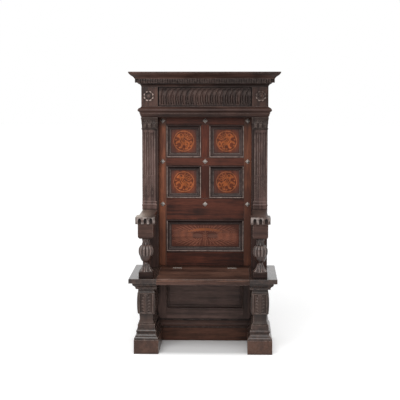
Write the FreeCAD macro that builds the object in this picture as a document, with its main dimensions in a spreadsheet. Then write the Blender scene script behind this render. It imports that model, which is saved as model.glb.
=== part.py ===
import FreeCAD, Part
import math
import os
import types

import Sketcher

# A tall walnut throne: base with runner feet, tip-up seat, arms on balusters, pilasters, entablature
# and a panelled back. Millimetres, +Z up, origin on the floor under the middle of the overall box,
# the sitter faces -Y. Left and right are as seen from the front.

SIZES = (
    ("overall_depth", 640, "seat front to rear boards"),
    ("overall_height", 2000, "floor to the top of the cornice"),
    ("seat_half", 328, "half width of the seat board"),
    ("side_offset", 76.5, "seat edge to the centre of a leg, arm and post"),
    ("foot_half", 88, "half width of a runner foot"),
    ("foot_height", 100, "height of a runner foot"),
    ("foot_setback", 29, "seat front to foot front"),
    ("edge", 2, "small square edge between mouldings"),
    ("cyma_height", 50, "height of the cyma on the foot"),
    ("torus_half", 67, "half width of the leg base under its torus"),
    ("torus_height", 22, "height of the torus"),
    ("torus_swell_share", 0.22, "rise of the torus over its height"),
    ("fascia_half", 61, "half width of the flat band over the torus"),
    ("fascia_height", 42, "height of the flat band over the torus"),
    ("neck_half", 50, "half width of the leg neck at its narrowest"),
    ("neck_flare", 4, "how much wider the neck is at its foot"),
    ("neck_hollow_share", 0.06, "depth of the hollow neck over its height"),
    ("neck_height", 72, "height of the leg neck"),
    ("die_half", 60, "half width of the leg die at its foot"),
    ("die_swell_share", 0.03, "rise of the die's bowed faces over its height"),
    ("die_band", 24, "height of the sunk band at the top of the die"),
    ("die_band_sink", 3, "depth of that band"),
    ("carving_half", 55, "half width of the carved console panel"),
    ("carving_thick", 14, "thickness of the carved console panel"),
    ("carving_margin", 4, "plain die above and below the carved panel"),
    ("carving_border", 13, "raised border of the carved panel"),
    ("carving_sink", 6, "depth of the carved panel's field"),
    ("carving_leaf", 34, "half width of the carved leaf"),
    ("carving_waist_share", 0.6, "level of the leaf's widest place over the panel"),
    ("leaf_rise", 2, "how far the carved leaf stands before the border"),
    ("cap_height", 47, "height of the moulding under the ledge"),
    ("cap_top_out", 36, "reach of that moulding past the die at its top"),
    ("cap_foot_out", 14, "reach of that moulding past the die at its foot"),
    ("cap_fillet", 8, "square edge at the top of that moulding"),
    ("seat_height", 545, "floor to the top of the seat"),
    ("ledge_width", 195, "width of a seat ledge"),
    ("ledge_thick", 33, "thickness of a seat ledge"),
    ("ledge_round", 4, "eased upper edge of a seat ledge"),
    ("seat_thick", 20, "thickness of the seat board"),
    ("seat_nose", 6, "rounded front edge of the seat board"),
    ("seat_gap", 2, "gap between the seat board and each ledge"),
    ("seat_clear", 0.3, "play between the seat board and what it rests on"),
    ("front_rail_height", 22, "height of the rail under the seat front"),
    ("front_rail_depth", 40, "depth of the rail under the seat front"),
    ("front_rail_setback", 4, "seat front to that rail"),
    ("bearer_width", 28, "width of a seat bearer"),
    ("bearer_height", 24, "height of a seat bearer"),
    ("batten_place", 175, "middle plane to the centre of a seat batten"),
    ("batten_width", 48, "width of a seat batten"),
    ("batten_thick", 18, "thickness of a seat batten"),
    ("batten_margin", 62, "seat edge to the end of a batten"),
    ("hinge_place", 203, "middle plane to the centre of a hinge"),
    ("hinge_length", 66, "length of a hinge"),
    ("hinge_offset", 5, "hinge line to the pilaster plane"),
    ("knuckle_radius", 5, "radius of a hinge knuckle"),
    ("knuckle_play", 0.3, "end play of a hinge knuckle"),
    ("pin_radius", 2.5, "radius of a hinge pin"),
    ("pin_play", 0.05, "running clearance of a hinge pin"),
    ("leaf_thick", 2, "thickness of a hinge leaf"),
    ("leaf_height", 17, "height of a hinge leaf below its pin"),
    ("leaf_gap", 0.6, "gap between closed hinge leaves"),
    ("hinge_room", 0.6, "clearance of the cut-outs round the knuckles"),
    ("seam_gap", 2, "gap behind the seat board"),
    ("apron_thick", 22, "thickness of the lower-front frame"),
    ("apron_stile", 56, "width of a lower-front stile"),
    ("apron_rail", 82, "height of the lower-front bottom rail"),
    ("apron_top_rail", 50, "height of the lower-front top rail"),
    ("apron_bead", 26, "width of the lower-front panel moulding"),
    ("apron_bead_proud", 5, "how far that moulding stands out"),
    ("plinth_height", 102, "height of the plinth board"),
    ("plinth_proud", 17, "how far the plinth stands before the lower front"),
    ("base_moulding_height", 55, "height of the moulding on the plinth"),
    ("rear_board_thick", 20, "thickness of the rear base board"),
    ("arm_rise", 439, "top of the seat to the top of an arm rest"),
    ("arm_thick", 51, "thickness of an arm rest's end"),
    ("arm_board", 26, "thickness of an arm rest behind its end"),
    ("arm_half", 54, "half width of an arm rest behind its end"),
    ("arm_head_half", 70, "half width of an arm rest's end"),
    ("arm_head_depth", 139, "depth of an arm rest's end"),
    ("arm_setback", 5, "seat front to an arm rest's end"),
    ("crenel_width", 20, "width of a notch in an arm rest's end"),
    ("crenel_height", 40, "height of such a notch"),
    ("crenel_depth", 15, "depth of such a notch"),
    ("arm_block_half", 54, "half width of the block under an arm"),
    ("arm_block_height", 107, "height of the block under an arm"),
    ("arm_block_foot", 20, "height of that block's rounded foot"),
    ("plinth_block_half", 50, "half width of a baluster base block"),
    ("plinth_block_height", 45, "height of a baluster base block"),
    ("baluster_setback", 77, "seat front to the axis of a baluster"),
    ("collar_radius", 46, "radius of a baluster's leaf collar at its foot"),
    ("collar_height", 54, "height of the leaf collar"),
    ("stem_radius", 19, "radius of the stem over the collar"),
    ("stem_height", 14, "height of that stem"),
    ("cup_radius", 41, "radius of the vase's plain cup at its rim"),
    ("cup_height", 42, "height of the plain cup"),
    ("bulb_radius", 54, "radius of the gadrooned bulb"),
    ("bulb_height", 80, "height of the gadrooned bulb"),
    ("throat_radius", 21, "radius of the baluster's neck"),
    ("ring_radius", 28, "radius of the ring at the top of the neck"),
    ("ring_height", 9, "height of that ring"),
    ("gadroon_share", 0.085, "depth of a gadroon over the radius"),
    ("gadroon_count", 12, "gadroons round a bulb"),
    ("leaf_count", 8, "leaves round a collar or neck"),
    ("leaf_share", 0.16, "depth of a leaf over the radius"),
    ("post_half", 59, "half width of a back post"),
    ("post_depth", 148, "pilaster front to the rear of a back post"),
    ("post_step", 14, "how far a pilaster stands before its post"),
    ("shaft_width", 94, "width of a pilaster shaft"),
    ("shaft_margin", 3.5, "outer edge of a post to its shaft"),
    ("shaft_sink", 3, "front of the pilaster base to the front of its shaft"),
    ("pilaster_base_height", 62, "height of a pilaster base"),
    ("pilaster_base_out", 2, "reach of a pilaster base past its post"),
    ("pilaster_base_inset", 12, "inner edge of a post to its pilaster base"),
    ("capital_height", 90, "height of a pilaster capital"),
    ("capital_inset", 8, "inner edge of a post to its capital"),
    ("capital_out", 7, "reach of a capital past its post"),
    ("capital_flute_pitch", 13, "pitch of the capital's small flutes"),
    ("capital_flute_count", 7, "small flutes on a capital"),
    ("capital_flute_width", 7, "width of a small flute"),
    ("capital_flute_depth", 4, "depth of a small flute"),
    ("capital_foot_share", 0.61, "level of the small flutes' foot over the capital"),
    ("capital_head_share", 0.79, "level of the small flutes' head over the capital"),
    ("flute_count", 5, "flutes on a pilaster shaft"),
    ("flute_pitch", 16.5, "pitch of the flutes"),
    ("flute_width", 11, "width of a flute"),
    ("flute_hollow_share", 0.25, "depth of a flute over its width"),
    ("flute_margin", 22, "plain shaft above and below the flutes"),
    ("cable_share", 0.354, "share of the flutes that is filled"),
    ("frieze_overhang", 3.5, "reach of the frieze past the posts"),
    ("architrave_height", 82, "height of the architrave"),
    ("architrave_out", 26, "reach of the architrave moulding"),
    ("frieze_height", 140, "height of the frieze"),
    ("frieze_sink", 9, "end block front to frieze panel front"),
    ("frieze_thick", 24, "thickness of the frieze panel"),
    ("frieze_edge", 8, "plain margin of the frieze panel"),
    ("strigil_margin", 17, "end of the frieze panel to its first flute"),
    ("strigil_count", 18, "flutes across the frieze"),
    ("strigil_share", 0.63, "width of a frieze flute over its pitch"),
    ("strigil_lean", 12, "how far a frieze flute leans over from foot to head"),
    ("strigil_bow", 12, "how far a frieze flute bows sideways at its middle"),
    ("strigil_depth", 7, "depth of a frieze flute"),
    ("rosette_radius", 42, "radius of a frieze rosette"),
    ("rosette_boss", 14, "radius of a rosette's boss"),
    ("petal_count", 8, "petals of a rosette"),
    ("petal_share", 0.2, "depth of the gaps between petals over the radius"),
    ("rosette_rise", 15, "height of a rosette's boss"),
    ("bed_height", 30, "height of the bed moulding"),
    ("bed_out", 23, "reach of the bed moulding"),
    ("dentil_band", 29, "height of the dentil course"),
    ("dentil_out", 45, "reach of the dentils"),
    ("dentil_pitch", 18, "pitch of the dentils"),
    ("dentil_width", 10.5, "width of a dentil"),
    ("crown_height", 53, "height of the crown moulding"),
    ("crown_fascia", 11, "height of the crown's square edge"),
    ("crown_out", 88, "reach of the crown moulding"),
    ("crown_lip", 2, "overhang of the crown's square edge"),
    ("strip_back", 24, "wood behind the face of each cornice strip"),
    ("top_board_thick", 14, "thickness of the top board"),
    ("top_board_drop", 6, "cornice top to the top board"),
    ("back_recess", 116, "pilaster front to the front of the back"),
    ("back_thick", 24, "thickness of the back frame"),
    ("muntin_width", 60, "width of the middle uprights"),
    ("back_stile", 55, "width of an outer upright of the back"),
    ("panel_share", 0.274, "height of a roundel panel over the height free for panels"),
    ("top_rail", 59, "height of the back's top rail"),
    ("cross_rail", 60, "height of the rails between the roundel panels"),
    ("lower_panel_share", 0.27, "height of the lower panel over the height free for panels"),
    ("bottom_rail", 108, "height of the back's bottom rail"),
    ("panel_sink", 9, "back frame front to panel front"),
    ("panel_thick", 9, "thickness of a back panel"),
    ("bead_share", 0.147, "width of a panel moulding over a roundel panel's smaller side"),
    ("bead_proud", 7, "how far a panel moulding stands before the frame"),
    ("roundel_share", 0.322, "radius of a roundel over its panel's smaller side"),
    ("inlay_thick", 2, "thickness of an inlaid plate on its panel"),
    ("inlay_margin", 2, "panel moulding to the edge of the lower inlay"),
    ("stud_half", 13.5, "half width of a square-cut stud"),
    ("stud_rise", 11, "height of a diamond stud"),
    ("stud_tip", 2, "half width of a stud's flat tip"),
    ("lower_stud_share", 0.28, "depth of the lower studs over the middle rail"),
    ("plank_count", 5, "rear boards"),
    ("plank_gap", 1.5, "gap between rear boards"),
)

SIDES = (("left", -1), ("right", 1))


class Size:
    """A length known both as an expression on the sheet and as its present number."""

    def __init__(self, value, text):
        self.value = value
        self.text = text

    def __add__(self, other):
        other = as_size(other)
        return Size(self.value + other.value, f"({self.text} + {other.text})")

    def __sub__(self, other):
        other = as_size(other)
        return Size(self.value - other.value, f"({self.text} - {other.text})")

    def __mul__(self, other):
        other = as_size(other)
        return Size(self.value * other.value, f"({self.text} * {other.text})")

    def __truediv__(self, other):
        other = as_size(other)
        return Size(self.value / other.value, f"({self.text} / {other.text})")

    def __radd__(self, other):
        return as_size(other) + self

    def __rsub__(self, other):
        return as_size(other) - self

    def __rmul__(self, other):
        return as_size(other) * self

    def __neg__(self):
        return Size(-self.value, f"(0 - {self.text})")


def as_size(value):
    if isinstance(value, Size):
        return value
    return Size(value, f"({value})")


def smaller(first, second):
    return Size(min(first.value, second.value), f"min({first.text}; {second.text})")


doc = FreeCAD.newDocument("throne")
sheet = doc.addObject("Spreadsheet::Sheet", "dims")
for row, (name, number, meaning) in enumerate(SIZES, start=1):
    sheet.set(f"A{row}", meaning)
    sheet.set(f"B{row}", str(number))
    sheet.setAlias(f"B{row}", name)
doc.recompute()
d = types.SimpleNamespace(**{name: Size(float(sheet.get(name)), f"dims.{name}") for name, _, _ in SIZES})

nodes = []


def keep(thing, label):
    """Name a finished sub-part and list it for export."""
    thing.Label = label
    nodes.append(thing)
    return thing


def bind(thing, slot, size):
    thing.setExpression(slot, as_size(size).text)


def origin_of(body, role):
    return next(part for part in body.Origin.OriginFeatures if part.Role == role)


def trace(sketch, points):
    """Draw a closed outline and tie every corner to the sheet.

    A point is (across, up) or (across, up, bend): bend is the rise over the chord of the arc that
    arrives there, positive when the arc swells to the left of the way it is drawn.
    """
    corners = [(as_size(point[0]), as_size(point[1])) for point in points]
    bends = [point[2] if len(point) > 2 else None for point in points]
    edges = []
    for index, start in enumerate(corners):
        after = (index + 1) % len(corners)
        end = corners[after]
        here = FreeCAD.Vector(start[0].value, start[1].value, 0)
        there = FreeCAD.Vector(end[0].value, end[1].value, 0)
        if bends[after] is None:
            edges.append((sketch.addGeometry(Part.LineSegment(here, there)), None))
            continue
        bend = as_size(bends[after])
        across = (start[0] + end[0]) / 2 - bend * (end[1] - start[1])
        up = (start[1] + end[1]) / 2 + bend * (end[0] - start[0])
        crown = FreeCAD.Vector(across.value, up.value, 0)
        arc = sketch.addGeometry(Part.Arc(here, crown, there))
        edges.append((arc, (sketch.addGeometry(Part.Point(crown), True), across, up)))
    rules = []
    ties = []

    def pin(geometry, spot, across, up):
        for kind, size in (("DistanceX", across), ("DistanceY", up)):
            rules.append(Sketcher.Constraint(kind, -1, 1, geometry, spot, size.value))
            ties.append((len(rules) - 1, size))

    ends = []
    for (geometry, _), start in zip(edges, corners):
        first = sketch.getPoint(geometry, 1)
        is_first = math.hypot(first.x - start[0].value, first.y - start[1].value) < 1e-4
        ends.append((1, 2) if is_first else (2, 1))
    for index, ((geometry, swell), start) in enumerate(zip(edges, corners)):
        before = (edges[index - 1][0], ends[index - 1][1])
        rules.append(Sketcher.Constraint("Coincident", *before, geometry, ends[index][0]))
        pin(geometry, ends[index][0], *start)
        if swell:
            point, across, up = swell
            pin(point, 1, across, up)
            rules.append(Sketcher.Constraint("PointOnObject", point, 1, geometry))
    base = sketch.ConstraintCount
    sketch.addConstraint(rules)
    for index, size in ties:
        sketch.setExpression(f"Constraints[{base + index}]", size.text)


def outline(body, role, loops, offset):
    """A sketch on one of the body's own planes, moved along the plane's normal."""
    sketch = body.newObject("Sketcher::SketchObject", "outline")
    sketch.AttachmentSupport = (origin_of(body, role), [""])
    sketch.MapMode = "FlatFace"
    bind(sketch, "AttachmentOffset.Base.z", offset)
    for points in loops:
        trace(sketch, points)
    return sketch


def add(body, role, loops, start, length):
    """Pad outlines from start to start + length along the axis that crosses the plane."""
    offset = -(start + length) if role == "XZ_Plane" else as_size(start)
    feature = body.newObject("PartDesign::Pad", "pad")
    feature.Profile = outline(body, role, loops, offset)
    bind(feature, "Length", length)
    return feature


def cut(body, role, loops, start, length):
    """Pocket outlines from start to start + length along the axis that crosses the plane."""
    offset = -as_size(start) if role == "XZ_Plane" else start + as_size(length)
    feature = body.newObject("PartDesign::Pocket", "pocket")
    feature.Profile = outline(body, role, loops, offset)
    bind(feature, "Length", length)
    return feature


def repeat(body, feature, axis, count, pitch):
    """Copy a feature along one of the body's axes."""
    pattern = body.newObject("PartDesign::LinearPattern", "row")
    pattern.Originals = [feature]
    pattern.Direction = (origin_of(body, axis), [""])
    pattern.Mode = "Spacing"
    bind(pattern, "Offset", pitch)
    bind(pattern, "Occurrences", count)
    body.Tip = pattern
    return pattern


def prism(role, loops, start, length):
    body = doc.addObject("PartDesign::Body", "piece")
    add(body, role, loops, as_size(start), as_size(length))
    return body


def box(low, high):
    """A squared piece of wood between two corners."""
    piece = doc.addObject("Part::Box", "board")
    for slot, axis, near, far in zip(("Length", "Width", "Height"), "xyz", low, high):
        bind(piece, slot, as_size(far) - near)
        bind(piece, f"Placement.Base.{axis}", near)
    return piece


def rod(radius, start, length, across, up):
    """A round bar along X."""
    piece = doc.addObject("Part::Cylinder", "rod")
    piece.Placement = FreeCAD.Placement(FreeCAD.Vector(), FreeCAD.Rotation(FreeCAD.Vector(0, 1, 0), 90))
    bind(piece, "Radius", radius)
    bind(piece, "Height", length)
    for axis, place in zip("xyz", (start, across, up)):
        bind(piece, f"Placement.Base.{axis}", place)
    return piece


def join(kind, first, second):
    piece = doc.addObject(f"Part::{kind}", kind.lower())
    piece.Base = first
    piece.Tool = second
    return piece


def fuse(pieces):
    piece = doc.addObject("Part::MultiFuse", "fused")
    piece.Shapes = pieces
    return piece


def group(pieces):
    piece = doc.addObject("Part::Compound", "group")
    piece.Links = pieces
    return piece


def rectangle(low, high):
    return [(low[0], low[1]), (high[0], low[1]), (high[0], high[1]), (low[0], high[1])]


def spot(side, near, far):
    """The two ends of a span on one side of the middle plane, in rising order."""
    return (near, far) if side > 0 else (-as_size(far), -as_size(near))


# Levels and planes that several pieces share

front = -d.overall_depth / 2
rear = d.overall_depth / 2
pilaster_plane = rear - d.post_depth
post_front = pilaster_plane + d.post_step
back_front = pilaster_plane + d.back_recess
back_rear = back_front + d.back_thick
hinge_line = pilaster_plane - d.hinge_offset
side_axis = d.seat_half + d.side_offset
post_inner = side_axis - d.post_half
post_outer = side_axis + d.post_half
die_inner = side_axis - d.die_half
leg_centre = front + d.foot_setback + d.foot_half
ledge_inner = d.seat_half + d.seat_gap
ledge_outer = ledge_inner + d.ledge_width
ledge_under = d.seat_height - d.ledge_thick
cyma_top = d.foot_height + d.cyma_height
torus_top = cyma_top + d.torus_height
fascia_top = torus_top + d.fascia_height
die_foot = fascia_top + d.neck_height
cap_foot = ledge_under - d.cap_height
arm_top = d.seat_height + d.arm_rise
arm_under = arm_top - d.arm_thick
block_under = arm_under - d.arm_block_height
baluster_y = front + d.baluster_setback
entablature_half = post_outer + d.frieze_overhang
crown_foot = d.overall_height - d.crown_height
dentil_foot = crown_foot - d.dentil_band
bed_foot = dentil_foot - d.bed_height
frieze_foot = bed_foot - d.frieze_height
architrave_foot = frieze_foot - d.architrave_height
capital_foot = architrave_foot - d.capital_height
shaft_foot = arm_top + d.pilaster_base_height

# Arc rises over chords: a quarter round and the gentle halves of a cyma

QUARTER = 0.207
GENTLE = 0.13

# How far a cutter runs past the wood that it cuts

PAST = 1

# Moulding profiles from the foot up: share of the reach, share of the height, rise of the arc over its chord

ARCHITRAVE_FORM = ((0, 0), (0.3, 0.17), (0.36, 0.29), (0.5, 0.32), (0.62, 0.49, -GENTLE),
                   (1, 0.58), (1, 0.66), (0.5, 0.85, GENTLE), (0, 1, -GENTLE))
BED_FORM = ((0, 0), (0, 0.13), (0.91, 0.8, -GENTLE), (1, 0.8), (1, 1))
CAPITAL_BELL = 0.4
CAPITAL_FORM = ((0.2, 0), (0.5, 0.06), (0.5, 0.11), (0, 0.14), (0.2, 0.47), (0.6, 0.52), (CAPITAL_BELL, 0.58),
                (0.7, 0.82), (1, 0.89), (1, 1))
PILASTER_BASE_FORM = ((0, 0), (0, 0.35), (-0.5, 0.39), (1, 0.45), (1, 0.58), (-0.5, 0.65), (-1.5, 0.74),
                      (0, 0.81), (0, 0.9), (-1, 1))


def profile_steps(form, reach, foot, height):
    """A profile at its real size, as (reach, level, bend) steps from the foot up."""
    return [(share * reach, foot + rise * height, *bend) for share, rise, *bend in form]


def moulded_block(side, steps):
    """A block moulded alike on its front and both sides, square at the rear.

    Each step is (half width, level, swell): swell is the rise of the outward arc that arrives there.
    """
    axis = side * side_axis

    def with_swell(across, up, step, sign):
        return (across, up) if step is None else (across, up, sign * step)

    swells = [step[2] if len(step) > 2 else None for step in steps]
    section = [with_swell(axis + step[0], step[1], swell, -1) for step, swell in zip(steps, swells)]
    for index in range(len(steps) - 1, -1, -1):
        arriving = swells[index + 1] if index + 1 < len(steps) else None
        section.append(with_swell(axis - steps[index][0], steps[index][1], arriving, -1))
    face = [with_swell(leg_centre - step[0], step[1], swell, 1) for step, swell in zip(steps, swells)]
    face.append((rear, steps[-1][1]))
    face.append((rear, steps[0][1]))
    widest = d.foot_half + d.cap_top_out
    sideways = prism("XZ_Plane", [section], leg_centre - widest, rear - leg_centre + widest)
    endways = prism("YZ_Plane", [face], axis - widest, 2 * widest)
    return join("Common", sideways, endways)


# Legs


def make_leg(name, side):
    """Foot, moulded base, die and cap of one leg, from the floor up."""
    low, high = spot(side, side_axis - d.foot_half, side_axis + d.foot_half)
    foot = keep(box((low, leg_centre - d.foot_half, 0), (high, rear, d.foot_height)), f"foot_runner_{name}")
    cyma_middle = (d.foot_half + d.torus_half) / 2
    base_steps = [
        (d.foot_half - d.edge, d.foot_height),
        (cyma_middle, d.foot_height + d.cyma_height / 2, GENTLE),
        (d.torus_half, cyma_top, -GENTLE),
        (d.torus_half, torus_top, d.torus_swell_share),
        (d.fascia_half, torus_top),
        (d.fascia_half, fascia_top - 2 * d.edge),
        (d.neck_half + d.neck_flare, fascia_top),
    ]
    base = keep(moulded_block(side, base_steps), f"leg_base_{name}")
    die_steps = [
        (d.neck_half + d.neck_flare, fascia_top),
        (d.neck_half, die_foot - 3 * d.edge, -d.neck_hollow_share),
        (d.neck_half, die_foot),
        (d.die_half, die_foot),
        (d.die_half, cap_foot - d.die_band, d.die_swell_share),
        (d.die_half - d.die_band_sink, cap_foot - d.die_band + d.die_band_sink),
        (d.die_half - d.die_band_sink, cap_foot),
    ]
    die = keep(moulded_block(side, die_steps), f"leg_die_{name}")
    return [foot, base, die, make_cap(name, side)]


def make_cap(name, side):
    """The moulding under a ledge: moulded in front and outside, flush inside."""
    axis = side * side_axis
    die_front = leg_centre - d.die_half
    foot = cap_foot + 3 * d.edge
    outs = [(d.cap_foot_out, cap_foot), (d.cap_foot_out, foot)]
    middle = ((d.cap_foot_out + d.cap_top_out) / 2, (foot + ledge_under - d.cap_fillet) / 2, -GENTLE)
    outs += [middle, (d.cap_top_out, ledge_under - d.cap_fillet, GENTLE), (d.cap_top_out, ledge_under)]
    inner = side * ledge_inner
    section = []
    face = []
    for out, level, *swell in outs:
        section.append((axis + side * (d.die_half + out), level, *[-side * rise for rise in swell]))
        face.append((die_front - out, level, *swell))
    section += [(inner, ledge_under), (inner, cap_foot)]
    face += [(rear, ledge_under), (rear, cap_foot)]
    reach = d.die_half + d.cap_top_out
    sideways = prism("XZ_Plane", [section], leg_centre - reach, rear - leg_centre + reach)
    endways = prism("YZ_Plane", [face], axis - reach, 2 * reach)
    return keep(join("Common", sideways, endways), f"leg_cap_{name}")


def make_carving(side):
    """A console panel on the front of the die: raised border, sunk field and a standing leaf."""
    axis = side * side_axis
    low = die_foot + d.carving_margin
    high = cap_foot - d.die_band - d.carving_margin
    bow = d.die_swell_share * (cap_foot - d.die_band - die_foot)
    back = leg_centre - d.die_half - bow
    face = back - d.carving_thick
    body = prism("XZ_Plane", [rectangle((axis - d.carving_half, low), (axis + d.carving_half, high))],
                 face, d.carving_thick)
    inset = d.carving_border
    reach = d.carving_half - inset
    field = rectangle((axis - reach, low + inset), (axis + reach, high - inset))
    cut(body, "XZ_Plane", [field], face, d.carving_sink)
    leaf_half = d.carving_leaf
    waist = low + (high - low) * d.carving_waist_share
    tip = leaf_half / 4
    leaf = [
        (axis - tip, low + inset / 2),
        (axis + tip, low + inset / 2),
        (axis + leaf_half, (low + waist) / 2),
        (axis + leaf_half, waist),
        (axis + tip, high - inset / 2),
        (axis - tip, high - inset / 2),
        (axis - leaf_half, waist),
        (axis - leaf_half, (low + waist) / 2),
    ]
    add(body, "XZ_Plane", [leaf], face - d.leaf_rise, d.carving_sink + d.leaf_rise)
    return body


legs = {}
for name, side in SIDES:
    legs[side] = group(make_leg(name, side))
keep(group([make_carving(side) for _, side in SIDES]), "leg_carvings")

# Seat ledges, rails and the tip-up seat


def make_ledge(name, side):
    outer = side * ledge_outer
    inner = side * ledge_inner
    ease = d.ledge_round
    top = d.seat_height
    section = [(inner, ledge_under), (outer, ledge_under), (outer, top - ease)]
    section += [(outer - side * ease, top, -side * QUARTER), (inner, top)]
    face = [(rear, ledge_under), (front, ledge_under), (front, top - ease)]
    face += [(front + ease, top, QUARTER), (rear, top)]
    low, high = spot(side, ledge_inner, ledge_outer)
    sideways = prism("XZ_Plane", [section], front, d.overall_depth)
    endways = prism("YZ_Plane", [face], low, high - low)
    return keep(join("Common", sideways, endways), f"seat_ledge_{name}")


for name, side in SIDES:
    make_ledge(name, side)

seat_under = d.seat_height - d.seat_thick
rest_level = seat_under - d.seat_clear
rail_front = front + d.front_rail_setback
seat_rear = hinge_line - d.seam_gap / 2
strip_front = hinge_line + d.seam_gap / 2

keep(box((-ledge_inner, rail_front, rest_level - d.front_rail_height),
         (ledge_inner, rail_front + d.front_rail_depth, rest_level)), "seat_front_rail")

bearers = []
for _, side in SIDES:
    low, high = spot(side, ledge_inner - d.bearer_width, ledge_inner)
    bearers.append(box((low, rail_front + d.front_rail_depth, rest_level - d.bearer_height),
                       (high, strip_front, rest_level)))
keep(group(bearers), "seat_bearers")


def hinge_cuts(body, way):
    """Let the hinges into an edge: way is -1 for the seat board and 1 for the strip behind it."""
    leaf_depth = d.leaf_gap / 2 + d.leaf_thick
    barrel = d.knuckle_radius + d.hinge_room
    for _, side in SIDES:
        start = side * d.hinge_place - d.hinge_length / 2 - d.hinge_room
        length = d.hinge_length + 2 * d.hinge_room
        for depth, drop in ((leaf_depth, d.leaf_height), (barrel, barrel)):
            low, high = spot(way, -d.hinge_room, depth)
            notch = rectangle((hinge_line + low, d.seat_height - drop),
                              (hinge_line + high, d.seat_height + d.hinge_room))
            cut(body, "YZ_Plane", [notch], start, length)


nose = d.seat_nose
seat_outline = [
    (seat_rear, seat_under),
    (seat_rear, d.seat_height),
    (front + nose, d.seat_height),
    (front, d.seat_height - nose, QUARTER),
    (front, seat_under + nose / 3),
    (front + nose / 3, seat_under),
]
seat_board = prism("YZ_Plane", [seat_outline], -d.seat_half, 2 * d.seat_half)
hinge_cuts(seat_board, -1)
keep(seat_board, "seat_board")

battens = []
for _, side in SIDES:
    middle = side * d.batten_place
    half = d.batten_width / 2
    slope = d.batten_thick
    side_view = [
        (front + d.batten_margin, seat_under),
        (front + d.batten_margin + slope, seat_under - d.batten_thick),
        (seat_rear - d.batten_margin - slope, seat_under - d.batten_thick),
        (seat_rear - d.batten_margin, seat_under),
    ]
    battens.append(prism("YZ_Plane", [side_view], middle - half, d.batten_width))
keep(group(battens), "seat_battens")

strip_outline = rectangle((strip_front, ledge_under), (rear, d.seat_height))
rear_strip = prism("YZ_Plane", [strip_outline], -ledge_inner, 2 * ledge_inner)
hinge_cuts(rear_strip, 1)
keep(rear_strip, "seat_rear_strip")

# Butt hinges: the seat leaf has the middle knuckle, the frame leaf the outer two


def make_leaf(side, way, spans, bore):
    """One hinge leaf: a plate let into an edge, webs and knuckles over the given spans."""
    middle = side * d.hinge_place
    low, high = spot(way, d.leaf_gap / 2, d.leaf_gap / 2 + d.leaf_thick)
    near = hinge_line + low
    far = hinge_line + high
    clear = d.seat_height - d.knuckle_radius - d.hinge_room
    half = d.hinge_length / 2
    pieces = [box((middle - half, near, d.seat_height - d.leaf_height), (middle + half, far, clear))]
    for start, length in spans:
        pieces.append(box((middle + start, near, clear - PAST), (middle + start + length, far, d.seat_height)))
        pieces.append(rod(d.knuckle_radius, middle + start, length, hinge_line, d.seat_height))
    hole = rod(bore, middle - half - PAST, d.hinge_length + 2 * PAST, hinge_line, d.seat_height)
    return join("Cut", fuse(pieces), hole)


third = d.hinge_length / 3
outer_spans = [(-d.hinge_length / 2, third), (third / 2, third)]
inner_spans = [(-third / 2 + d.knuckle_play, third - 2 * d.knuckle_play)]
frame_bore = d.pin_radius + d.pin_play / 2
seat_bore = d.pin_radius + d.pin_play
keep(group([make_leaf(side, 1, outer_spans, frame_bore) for _, side in SIDES]), "hinge_frame_leaves")
keep(group([make_leaf(side, -1, inner_spans, seat_bore) for _, side in SIDES]), "hinge_seat_leaves")
pins = []
for _, side in SIDES:
    start = side * d.hinge_place - d.hinge_length / 2
    pins.append(rod(d.pin_radius, start, d.hinge_length, hinge_line, d.seat_height))
keep(group(pins), "hinge_pins")

# Lower front between the legs


def scribed(piece, sides):
    """Cut a board to the mouldings of the legs that it meets."""
    for side in sides:
        piece = join("Cut", piece, legs[side])
    return piece


apron_rear = pilaster_plane + d.apron_thick
apron_low = d.plinth_height + d.base_moulding_height
panel_low = apron_low + d.apron_rail
panel_high = ledge_under - d.apron_top_rail
panel_side = die_inner - d.apron_stile
neck_inner = side_axis - d.neck_half
foot_inner = side_axis - d.foot_half

stiles = []
for _, side in SIDES:
    low, high = spot(side, panel_side, neck_inner)
    stiles.append(scribed(box((low, pilaster_plane, apron_low), (high, apron_rear, ledge_under)), [side]))
keep(group(stiles), "apron_stiles")
apron_rails = [box((-panel_side, pilaster_plane, apron_low), (panel_side, apron_rear, panel_low)),
               box((-panel_side, pilaster_plane, panel_high), (panel_side, apron_rear, ledge_under))]
keep(group(apron_rails), "apron_rails")
apron_panel_front = pilaster_plane + d.panel_sink
keep(box((-panel_side, apron_panel_front, panel_low),
         (panel_side, apron_panel_front + d.panel_thick, panel_high)), "apron_panel")


def panel_frame(middle, level, half_width, half_height, face, width, proud, sink):
    """A mitred moulding round a panel: a bead outside, then a slope and a small step inside."""
    body = doc.addObject("PartDesign::Body", "frame")
    corners = [(0, -half_height), (half_width, -half_height), (half_width, half_height),
               (-half_width, half_height), (-half_width, -half_height)]
    outer = -half_height
    profile = [
        (0, outer),
        (-proud * 0.6, outer),
        (-proud, outer + width * 0.08),
        (-proud, outer + width * 0.22),
        (-proud * 0.6, outer + width * 0.3),
        (sink * 0.1, outer + width * 0.42),
        (sink * 0.55, outer + width * 0.85),
        (sink * 0.55, outer + width),
        (sink, outer + width),
        (sink, outer),
    ]
    pipe = body.newObject("PartDesign::AdditivePipe", "run")
    pipe.Profile = outline(body, "YZ_Plane", [profile], 0)
    pipe.Spine = outline(body, "XZ_Plane", [corners], 0)
    pipe.Transition = "Right corner"
    for axis, place in zip("xyz", (middle, face, level)):
        bind(body, f"Placement.Base.{axis}", place)
    return body


apron_middle = (panel_low + panel_high) / 2
keep(panel_frame(as_size(0), apron_middle, panel_side, (panel_high - panel_low) / 2, pilaster_plane,
                 d.apron_bead, d.apron_bead_proud, d.panel_sink), "apron_moulding")

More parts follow.
